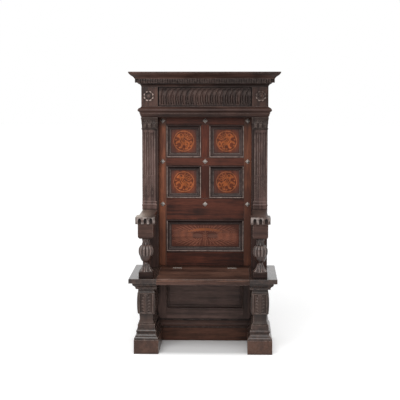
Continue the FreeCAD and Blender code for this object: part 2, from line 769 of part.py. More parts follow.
plinth_front = pilaster_plane - d.plinth_proud
keep(box((-foot_inner, plinth_front, 0), (foot_inner, apron_rear, d.plinth_height)), "plinth_board")
moulding_outline = [
    (apron_rear, d.plinth_height),
    (plinth_front + d.edge, d.plinth_height),
    (plinth_front + d.edge, d.plinth_height + 4 * d.edge),
    (pilaster_plane - 2 * d.edge, apron_low - 4 * d.edge, -GENTLE),
    (pilaster_plane - 2 * d.edge, apron_low),
    (apron_rear, apron_low),
]
base_moulding = prism("YZ_Plane", [moulding_outline], -neck_inner, 2 * neck_inner)
keep(scribed(base_moulding, (-1, 1)), "base_moulding")
rear_board = box((-neck_inner, rear - d.rear_board_thick, 0), (neck_inner, rear, ledge_under))
keep(scribed(rear_board, (-1, 1)), "base_rear_board")

# Arms: base block, baluster, block and crenellated arm rest

LOBE_STEPS = 3


def lobed_ring(radius, level, count, depth):
    """The corners of a ring of lobes round the Z axis, highest in the middle of each lobe."""
    steps = count * LOBE_STEPS
    points = []
    for index in range(steps):
        turn = 2 * math.pi * index / steps
        hollow = 1 - abs(math.sin(turn * count / 2))
        reach = radius * (1 - depth * hollow)
        points.append(FreeCAD.Vector(reach * math.cos(turn), reach * math.sin(turn), level))
    return points


def lobed_body(form, radius, foot, height, count, depth):
    """A carved or turned length of flat facets, from (share of height, share of radius) pairs."""
    rings = []
    for rise, reach in form:
        level = as_size(foot + rise * height).value
        rings.append(lobed_ring(reach * radius.value, level, int(count.value), depth.value))
    faces = [Part.Face(Part.makePolygon(ring + ring[:1])) for ring in (rings[0], rings[-1])]
    for lower, upper in zip(rings, rings[1:]):
        for index in range(len(lower)):
            after = (index + 1) % len(lower)
            corners = [lower[index], lower[after], upper[after], upper[index], lower[index]]
            faces.append(Part.Face(Part.makePolygon(corners)))
    piece = doc.addObject("Part::Feature", "lobed")
    piece.Shape = Part.Solid(Part.Shell(faces))
    return piece


# Forms of the lengths of a baluster, from the foot up

COLLAR_FORM = ((0, 1.08), (0.18, 0.86), (0.5, 0.66), (1, 0.48))
STEM_FORM = ((0, 1), (1, 1))
CUP_FORM = ((0, 0.46), (0.4, 0.82), (1, 1))
BULB_FORM = ((0, 0.82), (0.25, 0.97), (0.52, 1), (0.8, 0.84), (1, 0.5))
NECK_FORM = ((0, 1.4), (0.3, 1.14), (0.7, 1.14), (1, 1.36))
RING_FORM = ((0, 1), (1, 1))

collar_foot = d.seat_height + d.plinth_block_height
stem_foot = collar_foot + d.collar_height
cup_foot = stem_foot + d.stem_height
bulb_foot = cup_foot + d.cup_height
bulb_top = bulb_foot + d.bulb_height
ring_foot = block_under - d.ring_height


def make_baluster(name, side):
    """A leaf collar, stem, plain cup, gadrooned bulb, leafed neck and ring, one on the other."""
    plain = as_size(0)
    leaves = (d.leaf_count, d.leaf_share)
    turned = (d.leaf_count, plain)
    lengths = (
        (COLLAR_FORM, d.collar_radius, collar_foot, d.collar_height, *leaves),
        (STEM_FORM, d.stem_radius, stem_foot, d.stem_height, *turned),
        (CUP_FORM, d.cup_radius, cup_foot, d.cup_height, *turned),
        (BULB_FORM, d.bulb_radius, bulb_foot, d.bulb_height, d.gadroon_count, d.gadroon_share),
        (NECK_FORM, d.throat_radius, bulb_top, ring_foot - bulb_top, *leaves),
        (RING_FORM, d.ring_radius, ring_foot, d.ring_height, *turned),
    )
    baluster = fuse([lobed_body(*length) for length in lengths])
    bind(baluster, "Placement.Base.x", side * side_axis)
    bind(baluster, "Placement.Base.y", baluster_y)
    return keep(baluster, f"baluster_{name}")


def rounded_block(side, half, low, high, foot):
    """A block whose foot is drawn in by an ovolo on all four sides."""
    axis = side * side_axis

    def section(centre):
        return [
            (centre - half + foot, low, -QUARTER),
            (centre + half - foot, low),
            (centre + half, low + foot, -QUARTER),
            (centre + half, high),
            (centre - half, high),
            (centre - half, low + foot),
        ]

    sideways = prism("XZ_Plane", [section(axis)], baluster_y - half, 2 * half)
    endways = prism("YZ_Plane", [section(baluster_y)], axis - half, 2 * half)
    return join("Common", sideways, endways)


def notch(middle, low, width, height):
    """A notch with a canted top, open below."""
    half = width / 2
    top = low + height
    return [(middle - half, low - PAST), (middle + half, low - PAST), (middle + half, top - half),
            (middle + half / 2, top), (middle - half / 2, top), (middle - half, top - half)]


def make_arm_rest(name, side):
    axis = side * side_axis
    head_front = front + d.arm_setback
    head_rear = head_front + d.arm_head_depth
    body = prism("XY_Plane", [rectangle((axis - d.arm_half, head_rear), (axis + d.arm_half, post_front))],
                 arm_top - d.arm_board, d.arm_board)
    shoulder = head_rear - (d.arm_head_half - d.arm_half)
    ease = 3 * d.edge
    head = [
        (axis - d.arm_half, head_rear),
        (axis - d.arm_head_half, shoulder),
        (axis - d.arm_head_half, head_front + ease),
        (axis - d.arm_head_half + ease, head_front, -QUARTER),
        (axis + d.arm_head_half - ease, head_front),
        (axis + d.arm_head_half, head_front + ease, -QUARTER),
        (axis + d.arm_head_half, shoulder),
        (axis + d.arm_half, head_rear),
    ]
    add(body, "XY_Plane", [head], arm_under, d.arm_thick)
    pitch = (2 * d.arm_head_half - d.crenel_width) / 3
    across = [notch(axis + step * pitch, arm_under, d.crenel_width, d.crenel_height) for step in (-1, 0, 1)]
    cut(body, "XZ_Plane", across, head_front - PAST, d.crenel_depth + PAST)
    along = []
    for step in (1, 2):
        along.append(notch(head_front + step * pitch, arm_under, d.crenel_width, d.crenel_height))
    cut(body, "YZ_Plane", along, axis - d.arm_head_half - PAST, d.crenel_depth + PAST)
    cut(body, "YZ_Plane", along, axis + d.arm_head_half - d.crenel_depth, d.crenel_depth + PAST)
    return keep(body, f"arm_rest_{name}")


for name, side in SIDES:
    half = d.plinth_block_half
    axis = side * side_axis
    keep(box((axis - half, baluster_y - half, d.seat_height), (axis + half, baluster_y + half, collar_foot)),
         f"baluster_base_{name}")
    make_baluster(name, side)
    keep(rounded_block(side, d.arm_block_half, block_under, arm_under, d.arm_block_foot), f"arm_block_{name}")
    make_arm_rest(name, side)

# Back posts and pilasters


def make_shaft(name, side):
    """A pilaster shaft with stopped flutes, filled with reeds in their lower part."""
    outer = post_outer - d.shaft_margin
    low, high = spot(side, outer - d.shaft_width, outer)
    face = pilaster_plane + d.shaft_sink
    thick = d.post_step - d.shaft_sink
    section = rectangle((low, face), (high, face + thick))
    body = prism("XY_Plane", [section], shaft_foot, capital_foot - shaft_foot)
    half = d.flute_width / 2
    first = (low + high) / 2 - d.flute_pitch * (d.flute_count - 1) / 2
    hollow = [(first - half, face, -d.flute_hollow_share), (first - half, face - PAST),
              (first + half, face - PAST), (first + half, face)]
    flute_length = capital_foot - shaft_foot - 2 * d.flute_margin
    fluting = cut(body, "XY_Plane", [hollow], shaft_foot + d.flute_margin, flute_length)
    repeat(body, fluting, "X_Axis", d.flute_count, d.flute_pitch)
    bottom = d.flute_width * d.flute_hollow_share
    reed_half = half * 0.8
    reed = [(first - reed_half, face + bottom + PAST), (first + reed_half, face + bottom + PAST),
            (first + reed_half / 2, face + bottom / 3), (first - reed_half / 2, face + bottom / 3)]
    reeding = add(body, "XY_Plane", [reed], shaft_foot + d.flute_margin, flute_length * d.cable_share)
    repeat(body, reeding, "X_Axis", d.flute_count, d.flute_pitch)
    return keep(body, f"pilaster_shaft_{name}")


def wrapped_block(side, steps, inset):
    """A block moulded on its front and both sides, against the front of a post."""
    low, high = spot(side, post_inner + inset, post_outer)
    section = [(high + step[0], step[1]) for step in steps]
    section += [(low - step[0], step[1]) for step in reversed(steps)]
    face = [(pilaster_plane - step[0], step[1]) for step in steps]
    face += [(post_front, steps[-1][1]), (post_front, steps[0][1])]
    reach = d.capital_out + d.architrave_out
    sideways = prism("XZ_Plane", [section], pilaster_plane - reach, d.post_step + reach)
    endways = prism("YZ_Plane", [face], low - reach, high - low + 2 * reach)
    return join("Common", sideways, endways)


def make_capital(name, side):
    """A moulded capital with a row of small flutes under its abacus."""
    out = d.capital_out
    steps = profile_steps(CAPITAL_FORM, out, capital_foot, d.capital_height)
    block = wrapped_block(side, steps, d.capital_inset)
    low, high = spot(side, post_inner + d.capital_inset, post_outer)
    first = (low + high) / 2 - d.capital_flute_pitch * (d.capital_flute_count - 1) / 2
    half = d.capital_flute_width / 2
    slot = rectangle((first - half, capital_foot + d.capital_foot_share * d.capital_height),
                     (first + half, capital_foot + d.capital_head_share * d.capital_height))
    flutes = doc.addObject("PartDesign::Body", "flutes")
    start = pilaster_plane - 2 * out
    bottom = pilaster_plane - CAPITAL_BELL * out + d.capital_flute_depth
    teeth = add(flutes, "XZ_Plane", [slot], start, bottom - start)
    repeat(flutes, teeth, "X_Axis", d.capital_flute_count, d.capital_flute_pitch)
    return keep(join("Cut", block, flutes), f"pilaster_capital_{name}")


def make_pilaster_base(name, side):
    steps = profile_steps(PILASTER_BASE_FORM, d.pilaster_base_out, arm_top, d.pilaster_base_height)
    return keep(wrapped_block(side, steps, d.pilaster_base_inset), f"pilaster_base_{name}")


for name, side in SIDES:
    low, high = spot(side, post_inner, post_outer)
    keep(box((low, post_front, d.seat_height), (high, rear, architrave_foot)), f"back_post_{name}")
    make_pilaster_base(name, side)
    make_shaft(name, side)
    make_capital(name, side)

# Entablature


def cornice_run(steps, back, extra=None):
    """A moulding round the front and both sides of the entablature, mitred at the corners.

    Each step is (reach, level, swell) on the outer face from the foot up.
    """
    half = entablature_half
    widest = d.crown_out + PAST
    past = widest + PAST
    foot = steps[0][1]
    top = steps[-1][1]
    corner_y = pilaster_plane + back

    def face(base, sign, swell_sign):
        points = []
        for reach, level, *swell in steps:
            points.append((base + sign * as_size(reach), level, *[swell_sign * rise for rise in swell]))
        return points + [(base - sign * back, top), (base - sign * back, foot)]

    lengthways = prism("YZ_Plane", [face(pilaster_plane, -1, 1)], -half - widest, 2 * (half + widest))
    mitres = []
    for _, side in SIDES:
        far = side * (half + past)
        mitres.append([(side * (half - back), corner_y), (far, corner_y), (far, pilaster_plane - past)])
    if extra:
        extra(lengthways, "front")
    cut(lengthways, "XY_Plane", mitres, foot - PAST, top - foot + 2 * PAST)
    runs = [lengthways]
    for _, side in SIDES:
        start = pilaster_plane - widest
        sideways = prism("XZ_Plane", [face(side * half, side, -side)], start, rear - start)
        near = side * (half - back)
        mitre = [(near, corner_y), (near, pilaster_plane - past), (side * (half + past), pilaster_plane - past)]
        if extra:
            extra(sideways, side)
        cut(sideways, "XY_Plane", [mitre], foot - PAST, top - foot + 2 * PAST)
        runs.append(sideways)
    return group(runs)


architrave_steps = profile_steps(ARCHITRAVE_FORM, d.architrave_out, architrave_foot, d.architrave_height)
keep(cornice_run(architrave_steps, entablature_half - post_inner), "architrave")

blocks = []
for _, side in SIDES:
    low, high = spot(side, post_inner, entablature_half)
    blocks.append(box((low, pilaster_plane, frieze_foot), (high, rear, bed_foot)))
keep(group(blocks), "frieze_blocks")


FLUTE_SHARES = (0, 0.3, 0.65, 1)


def make_frieze():
    """The frieze panel with a row of bowed strigil flutes."""
    face = pilaster_plane + d.frieze_sink
    board = rectangle((-post_inner, frieze_foot), (post_inner, bed_foot))
    body = prism("XZ_Plane", [board], face, d.frieze_thick)
    low = frieze_foot + d.frieze_edge
    high = bed_foot - d.frieze_edge
    pitch = 2 * (post_inner - d.strigil_margin) / d.strigil_count
    first = -pitch * (d.strigil_count - 1) / 2 - d.strigil_lean / 2
    half = pitch * d.strigil_share / 2
    rise = high - half - low

    def edge(across):
        """One bowed edge of a flute, from the foot up."""
        points = []
        for share in FLUTE_SHARES:
            swing = d.strigil_lean * share - d.strigil_bow * (4 * share * (1 - share))
            points.append((across + swing, low + rise * share))
        return points

    head = first + d.strigil_lean
    flute = edge(first + half) + [(head + half / 2, high), (head - half / 2, high)] + edge(first - half)[::-1]
    row = cut(body, "XZ_Plane", [flute], face, d.strigil_depth)
    repeat(body, row, "X_Axis", d.strigil_count, pitch)
    return keep(body, "frieze_panel")


make_frieze()


PETAL_FORM = ((0, 1), (0.7, 0.9), (0.6, 0.36))
BOSS_FORM = ((0.5, 1.05), (0.85, 0.9), (1, 0.5))


def make_rosette(side):
    """A ring of hollowed petals round a boss, facing front."""
    petals = lobed_body(PETAL_FORM, d.rosette_radius, 0, d.rosette_rise, d.petal_count, d.petal_share)
    boss = lobed_body(BOSS_FORM, d.rosette_boss, 0, d.rosette_rise, d.petal_count, as_size(0))
    rosette = fuse([petals, boss])
    rosette.Placement = FreeCAD.Placement(FreeCAD.Vector(), FreeCAD.Rotation(FreeCAD.Vector(1, 0, 0), 90))
    middle = side * (post_inner + entablature_half) / 2
    for axis, place in zip("xyz", (middle, pilaster_plane, (frieze_foot + bed_foot) / 2)):
        bind(rosette, f"Placement.Base.{axis}", place)
    return rosette


keep(group([make_rosette(side) for _, side in SIDES]), "rosettes")

keep(cornice_run(profile_steps(BED_FORM, d.bed_out, bed_foot, d.bed_height), d.strip_back), "bed_moulding")

dentil_back = d.bed_out + 3 * d.edge


def add_dentils(body, place):
    """A row of dentils on one run of the dentil course."""
    low = dentil_foot + d.edge
    high = crown_foot
    half = d.dentil_width / 2
    if place == "front":
        count = math.floor(2 * (entablature_half.value + d.bed_out.value) / d.dentil_pitch.value)
        first = -d.dentil_pitch * (count - 1) / 2
        tooth = rectangle((first - half, low), (first + half, high))
        start = pilaster_plane - d.dentil_out
        row = add(body, "XZ_Plane", [tooth], start, d.dentil_out - dentil_back + PAST)
        return repeat(body, row, "X_Axis", as_size(count), d.dentil_pitch)
    span = rear.value - pilaster_plane.value + d.bed_out.value
    count = math.floor(span / d.dentil_pitch.value)
    first = pilaster_plane - d.bed_out + d.dentil_pitch / 2
    tooth = rectangle((first - half, low), (first + half, high))
    near = entablature_half + dentil_back - PAST
    low_x, high_x = spot(place, near, entablature_half + d.dentil_out)
    row = add(body, "YZ_Plane", [tooth], low_x, high_x - low_x)
    return repeat(body, row, "Y_Axis", as_size(count), d.dentil_pitch)


dentil_steps = [(dentil_back, dentil_foot), (dentil_back, crown_foot)]
keep(cornice_run(dentil_steps, d.strip_back, add_dentils), "dentil_course")

crown_edge = d.overall_height - d.crown_fascia
crown_rise = crown_foot + d.edge
crown_neck = d.crown_out - d.crown_lip
crown_steps = [
    (d.dentil_out, crown_foot),
    (d.dentil_out, crown_rise),
    ((d.dentil_out + crown_neck) / 2, (crown_rise + crown_edge) / 2, -GENTLE / 2),
    (crown_neck, crown_edge, GENTLE / 2),
    (d.crown_out, crown_edge),
    (d.crown_out, d.overall_height),
]
keep(cornice_run(crown_steps, d.strip_back), "crown_moulding")

lid_half = entablature_half - d.strip_back
lid_top = d.overall_height - d.top_board_drop
keep(box((-lid_half, pilaster_plane + d.strip_back, lid_top - d.top_board_thick), (lid_half, rear, lid_top)),
     "cornice_top_board")

# Panelled back

outer_x = post_inner - d.back_stile
panel_width = outer_x - d.muntin_width / 2
panel_room = architrave_foot - d.seat_height - d.top_rail - d.cross_rail - d.bottom_rail
panel_height = panel_room * d.panel_share
lower_panel_height = panel_room * d.lower_panel_share
upper_high = architrave_foot - d.top_rail
upper_low = upper_high - panel_height
second_high = upper_low - d.cross_rail
second_low = second_high - panel_height
lower_low = d.seat_height + d.bottom_rail
lower_high = lower_low + lower_panel_height
panel_least = smaller(panel_width, panel_height)
bead_width = panel_least * d.bead_share
roundel_radius = panel_least * d.roundel_share

back_stiles = []
for _, side in SIDES:
    low, high = spot(side, outer_x, post_inner)
    back_stiles.append(box((low, back_front, d.seat_height), (high, back_rear, architrave_foot)))
keep(group(back_stiles), "back_stiles")
rail_levels = (
    (d.seat_height, lower_low),
    (lower_high, second_low),
    (second_high, upper_low),
    (upper_high, architrave_foot),
)
back_rails = [box((-outer_x, back_front, low), (outer_x, back_rear, high)) for low, high in rail_levels]
keep(group(back_rails), "back_rails")
muntin_half = d.muntin_width / 2
roundel_levels = ((second_low, second_high), (upper_low, upper_high))
muntins = []
for low, high in roundel_levels:
    muntins.append(box((-muntin_half, back_front, low), (muntin_half, back_rear, high)))
keep(group(muntins), "back_muntins")

panel_front = back_front + d.panel_sink
inlay_front = panel_front - d.inlay_thick
roundel_places = []
for low, high in roundel_levels:
    for _, side in SIDES:
        roundel_places.append((side * (muntin_half + outer_x) / 2, (low + high) / 2))


def disc(across, up):
    piece = doc.addObject("Part::Cylinder", "disc")
    piece.Placement = FreeCAD.Placement(FreeCAD.Vector(), FreeCAD.Rotation(FreeCAD.Vector(1, 0, 0), -90))
    bind(piece, "Radius", roundel_radius)
    bind(piece, "Height", d.inlay_thick)
    for axis, place in zip("xyz", (across, inlay_front, up)):
        bind(piece, f"Placement.Base.{axis}", place)
    return piece


def roundel_panel(across, up):
    half_x = panel_width / 2
    half_z = panel_height / 2
    return box((across - half_x, panel_front, up - half_z),
               (across + half_x, panel_front + d.panel_thick, up + half_z))


keep(group([roundel_panel(*place) for place in roundel_places]), "roundel_panels")
keep(box((-outer_x, panel_front, lower_low), (outer_x, panel_front + d.panel_thick, lower_high)), "lower_panel")
keep(group([disc(*place) for place in roundel_places]), "roundel_inlays")
inlay_x = outer_x - bead_width - d.inlay_margin
inlay_low = lower_low + bead_width + d.inlay_margin
inlay_high = lower_high - bead_width - d.inlay_margin
keep(box((-inlay_x, inlay_front, inlay_low), (inlay_x, panel_front, inlay_high)), "lower_inlay")

frames = []
for across, up in roundel_places:
    frames.append(panel_frame(across, up, panel_width / 2, panel_height / 2, back_front,
                              bead_width, d.bead_proud, d.panel_sink))
frames.append(panel_frame(as_size(0), (lower_low + lower_high) / 2, outer_x, lower_panel_height / 2, back_front,
                          bead_width, d.bead_proud, d.panel_sink))
keep(group(frames), "panel_mouldings")


def make_stud(across, up):
    """A square-cut stud set cornerwise, rising to a small flat tip."""
    stud = doc.addObject("Part::Wedge", "stud")
    stud.Placement = FreeCAD.Placement(FreeCAD.Vector(), FreeCAD.Rotation(FreeCAD.Vector(0, 1, 0), 45))
    for axis in "XZ":
        bind(stud, f"{axis}min", -d.stud_tip)
        bind(stud, f"{axis}max", d.stud_tip)
        bind(stud, f"{axis}2min", -d.stud_half)
        bind(stud, f"{axis}2max", d.stud_half)
    bind(stud, "Ymin", -d.stud_rise)
    bind(stud, "Ymax", 0)
    for axis, place in zip("xyz", (across, back_front, up)):
        bind(stud, f"Placement.Base.{axis}", place)
    return stud


stud_x = (outer_x + post_inner) / 2
middle_rail = second_low - lower_high
stud_levels = (
    (upper_high + architrave_foot) / 2,
    (second_high + upper_low) / 2,
    second_low - middle_rail * d.lower_stud_share,
)
studs = []
for level in stud_levels:
    for across in (-stud_x, as_size(0), stud_x):
        studs.append(make_stud(across, level))
keep(group(studs), "diamond_studs")

planks = []
plank_span = 2 * post_inner / d.plank_count
for index in range(int(d.plank_count.value)):
    low = -post_inner + index * plank_span + d.plank_gap / 2
    planks.append(box((low, back_rear, d.seat_height), (low + plank_span - d.plank_gap, rear, bed_foot)))
planks.append(box((-lid_half, back_rear, bed_foot), (lid_half, rear, lid_top - d.top_board_thick)))
keep(group(planks), "rear_boards")

# Build, test and write every sub-part

doc.recompute()
for thing in doc.Objects:
    bad = [word for word in thing.State if word in ("Invalid", "Error")]
    if bad:
        raise RuntimeError(f"{thing.Name} {thing.Label}: {thing.State}")
for thing in nodes:
    if thing.Shape.isNull() or not thing.Shape.isValid():
        raise RuntimeError(f"{thing.Label} has no valid shape")

os.makedirs("parts", exist_ok=True)
for thing in nodes:
    thing.Shape.exportStep(os.path.join("parts", f"{thing.Label}.step"))
    print(f"{thing.Label}: {len(thing.Shape.Solids)} solids, {thing.Shape.Volume / 1000:.1f} cm3")
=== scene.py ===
import math

import bmesh
import bpy
import numpy as np
from bpy.props import FloatProperty, FloatVectorProperty, IntProperty, PointerProperty
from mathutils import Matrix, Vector


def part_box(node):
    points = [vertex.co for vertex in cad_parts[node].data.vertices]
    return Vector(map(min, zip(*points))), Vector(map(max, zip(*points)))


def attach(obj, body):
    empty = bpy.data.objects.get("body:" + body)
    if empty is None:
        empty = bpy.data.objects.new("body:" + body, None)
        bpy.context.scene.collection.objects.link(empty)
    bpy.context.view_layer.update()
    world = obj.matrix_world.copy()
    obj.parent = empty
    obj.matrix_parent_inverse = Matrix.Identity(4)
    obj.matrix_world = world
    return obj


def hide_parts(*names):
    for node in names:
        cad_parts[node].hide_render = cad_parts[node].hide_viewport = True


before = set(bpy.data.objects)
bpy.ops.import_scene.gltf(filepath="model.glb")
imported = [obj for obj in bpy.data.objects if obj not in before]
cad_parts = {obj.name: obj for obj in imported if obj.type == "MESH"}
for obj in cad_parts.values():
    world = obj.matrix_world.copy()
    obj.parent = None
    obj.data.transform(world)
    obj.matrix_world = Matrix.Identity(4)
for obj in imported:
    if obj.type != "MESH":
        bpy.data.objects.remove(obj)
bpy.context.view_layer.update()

bl_info = {
    "name": "Walnut throne",
    "version": (1, 0, 0),
    "blender": (4, 5, 0),
    "location": "View3D > Sidebar > Throne",
    "description": "Dresses the throne's frame with carving, inlay, waxed walnut and a plain studio",
    "category": "Add Mesh",
}

SIDES = (("left", -1), ("right", 1))


def both(name):
    """A piece's left and right nodes."""
    return tuple(f"{name}_{side}" for side, _ in SIDES)


def linear(red, green, blue):
    """A colour as seen on a screen, in steps of 255, as scene-linear numbers."""
    shares = [step / 255 for step in (red, green, blue)]
    return tuple(s / 12.92 if s <= 0.04045 else ((s + 0.055) / 1.055) ** 2.4 for s in shares)


def colour(label, about, *steps):
    return FloatVectorProperty(name=label, description=about, subtype="COLOR", size=3, min=0, max=1,
                               default=linear(*steps))


def number(label, about, value, **more):
    return FloatProperty(name=label, description=about, default=value, **more)


def length(label, about, metres):
    return number(label, about, metres, min=0, unit="LENGTH", precision=4)


def tally(label, about, pieces, least=1):
    return IntProperty(name=label, description=about, default=pieces, min=least)


# Settings that a user would change

# Each timber's name, where it is used, and the colours of its light and its dark grain
TIMBERS = {
    "dark": ("Dark walnut", "the carcass", (92, 66, 57), (44, 31, 27)),
    "deep": ("Deep walnut", "the mouldings that keep their old varnish", (78, 56, 49), (40, 28, 25)),
    "leg": ("Leg walnut", "the legs, between the feet and the seat", (79, 60, 52), (45, 34, 30)),
    "block": ("Arm block walnut", "the blocks under the arm rests", (112, 83, 73), (67, 49, 43)),
    "base": ("Base block walnut", "the blocks under the balusters", (66, 47, 41), (36, 25, 22)),
    "bead": ("Bead walnut", "the mouldings round the panels", (76, 57, 53), (42, 31, 29)),
    "stile": ("Stile walnut", "the uprights at the sides of the back", (168, 104, 75), (100, 59, 45)),
    "muntin": ("Muntin walnut", "the uprights between the panels", (116, 58, 40), (64, 30, 21)),
    "rail": ("Rail walnut", "the rails of the back", (94, 50, 37), (42, 22, 17)),
    "plinth": ("Plinth walnut", "the plinth and the strip behind the seat", (93, 61, 48), (42, 27, 21)),
    "field": ("Field walnut", "the ground of the roundel panels", (136, 70, 45), (82, 41, 29)),
    "apron": ("Apron walnut", "the panel under the seat", (122, 97, 89), (82, 65, 60)),
    "seat": ("Seat walnut", "the seat board and what carries it", (118, 84, 70), (50, 34, 28)),
    "foot": ("Foot walnut", "the runner feet", (92, 65, 53), (66, 46, 38)),
    "pilaster": ("Pilaster walnut", "the pilasters, greyer and more worn", (122, 96, 89), (70, 54, 50)),
    "capital": ("Capital walnut", "the capitals, with more grime", (60, 45, 39), (31, 23, 20)),
    "pine": ("Rear pine", "the boards at the back and top", (128, 90, 56), (84, 54, 33)),
}
GRAINS = ("light", "dark")


class ThroneFinishes(bpy.types.PropertyGroup):
    __annotations__ = {
        f"{timber}_{grain}": colour(f"{label}, {grain}", f"Colour of the {grain} grain of {use}", *steps)
        for timber, (label, use, *tones) in TIMBERS.items() for grain, steps in zip(GRAINS, tones)
    }
    # Colour towards which a roundel panel darkens at its corners
    field_edge: colour("Field edge", "Grime towards the corners of the panels", 66, 45, 41)
    # Colour of bare rubbed wood, also used for the painted highlights on carved ridges
    worn_edge_and_highlight: colour("Worn edge", "Bare wood along rubbed edges", 164, 146, 138)
    inlay_figure: colour("Inlay figure", "Fruitwood of the inlaid figures", 188, 102, 54)
    inlay_ring: colour("Inlay ring", "Ring round each roundel", 174, 98, 58)
    inlay_ground: colour("Inlay ground", "Ground behind the figures", 118, 57, 33)
    inlay_line: colour("Inlay line", "Lines cut into the figures", 76, 33, 18)
    scroll_band: colour("Scroll band", "Arched band of the lower inlay", 157, 89, 52)
    scroll_shadow: colour("Scroll shadow", "Ovals under the arched band", 112, 74, 62)
    scroll_leaf: colour("Scroll leaf", "Leaves of the lower inlay", 143, 86, 65)
    scroll_ground: colour("Scroll ground", "Ground of the lower inlay", 107, 61, 47)
    iron: colour("Old iron", "Studs of the back", 172, 164, 158)
    hinge_iron: colour("Hinge iron", "Hinges of the seat", 122, 112, 104)
    # Painted shade: the share by which the upper right side of the throne is darkened
    right_side_shade: number("Bleach", "How much paler the left side has become", 0.15, subtype="FACTOR", min=0, max=1)
    edge_ease: length("Eased edges", "Rounding of the sawn edges", 0.0018)
    wear_reach: length("Wear reach", "How far rubbing reaches in from an edge", 0.006)


class ThroneCarving(bpy.types.PropertyGroup):
    strigil_count: tally("Frieze flutes", "Flutes across the frieze", 18)
    strigil_pitch: length("Frieze pitch", "Pitch of the frieze flutes", 0.0365)
    strigil_width: length("Frieze flute width", "Width of a frieze flute", 0.0245)
    strigil_lean: length("Frieze lean", "Lean of a frieze flute from foot to head", 0.012)
    strigil_bow: length("Frieze bow", "Sideways bow of a frieze flute", 0.012)
    strigil_depth: length("Frieze depth", "Depth of a frieze flute", 0.0075)
    frieze_edge: length("Frieze margin", "Plain margin of the frieze", 0.008)
    petal_count: tally("Petals", "Petals of a rosette", 8, 3)
    gadroon_count: tally("Gadroons", "Gadroons round a baluster", 12, 3)
    leaf_count: tally("Leaves", "Leaves round a baluster's collar", 8, 3)
    flute_count: tally("Pilaster flutes", "Flutes on a pilaster", 5)
    flute_pitch: length("Pilaster pitch", "Pitch of the pilaster flutes", 0.0165)
    flute_width: length("Pilaster flute width", "Width of a pilaster flute", 0.0115)
    flute_depth: length("Pilaster flute depth", "Depth of a pilaster flute", 0.006)
    flute_margin: length("Pilaster margin", "Plain shaft above and below the flutes", 0.022)
    cable_share: number("Cabling", "Share of a flute that is filled", 0.354, subtype="FACTOR", min=0, max=1)
    inlay_rise: length("Inlay rise", "How far an inlaid figure stands on its ground", 0.0005)


class ThroneStage(bpy.types.PropertyGroup):
    camera_place: FloatVectorProperty(name="Camera place", description="Where the camera stands", size=3,
                                      subtype="TRANSLATION", unit="LENGTH", default=(0.2355, -8.3587, 1.946))
    camera_turn: FloatVectorProperty(name="Camera turn", description="Which way the camera looks", size=3,
                                     subtype="EULER", unit="ROTATION", default=(math.pi / 2 - 0.104, 0, 0.0317))
    lens: number("Lens", "Focal length for a 36 mm frame, in millimetres", 104.27)
    key_light: number("Key light", "Strength of the light from the left", 1.1)
    fill_light: number("Fill light", "Strength of the light from the right", 0.75)
    soft_box: number("Soft box", "Power of the soft box on the left", 42, unit="POWER")
    sky_light: number("Room light", "Strength of the light from all round", 0.3)


def finishes():
    return bpy.context.scene.throne_finishes


def carving():
    return bpy.context.scene.throne_carving


# Node trees


def operator_pair(operation):
    """An operator on wires and its reflected form."""
    def plain(self, other):
        return self.graph.math(operation, self, other)

    def reflected(self, other):
        return self.graph.math(operation, other, self)

    return plain, reflected


class Wire:
    """One output of a node; plain arithmetic on it adds Math nodes."""

    __add__, __radd__ = operator_pair("ADD")
    __sub__, __rsub__ = operator_pair("SUBTRACT")
    __mul__, __rmul__ = operator_pair("MULTIPLY")
    __truediv__, __rtruediv__ = operator_pair("DIVIDE")

    def __init__(self, graph, socket):
        self.graph = graph
        self.socket = socket

    def __neg__(self):
        return self * -1

    def __abs__(self):
        return self.graph.math("ABSOLUTE", self)


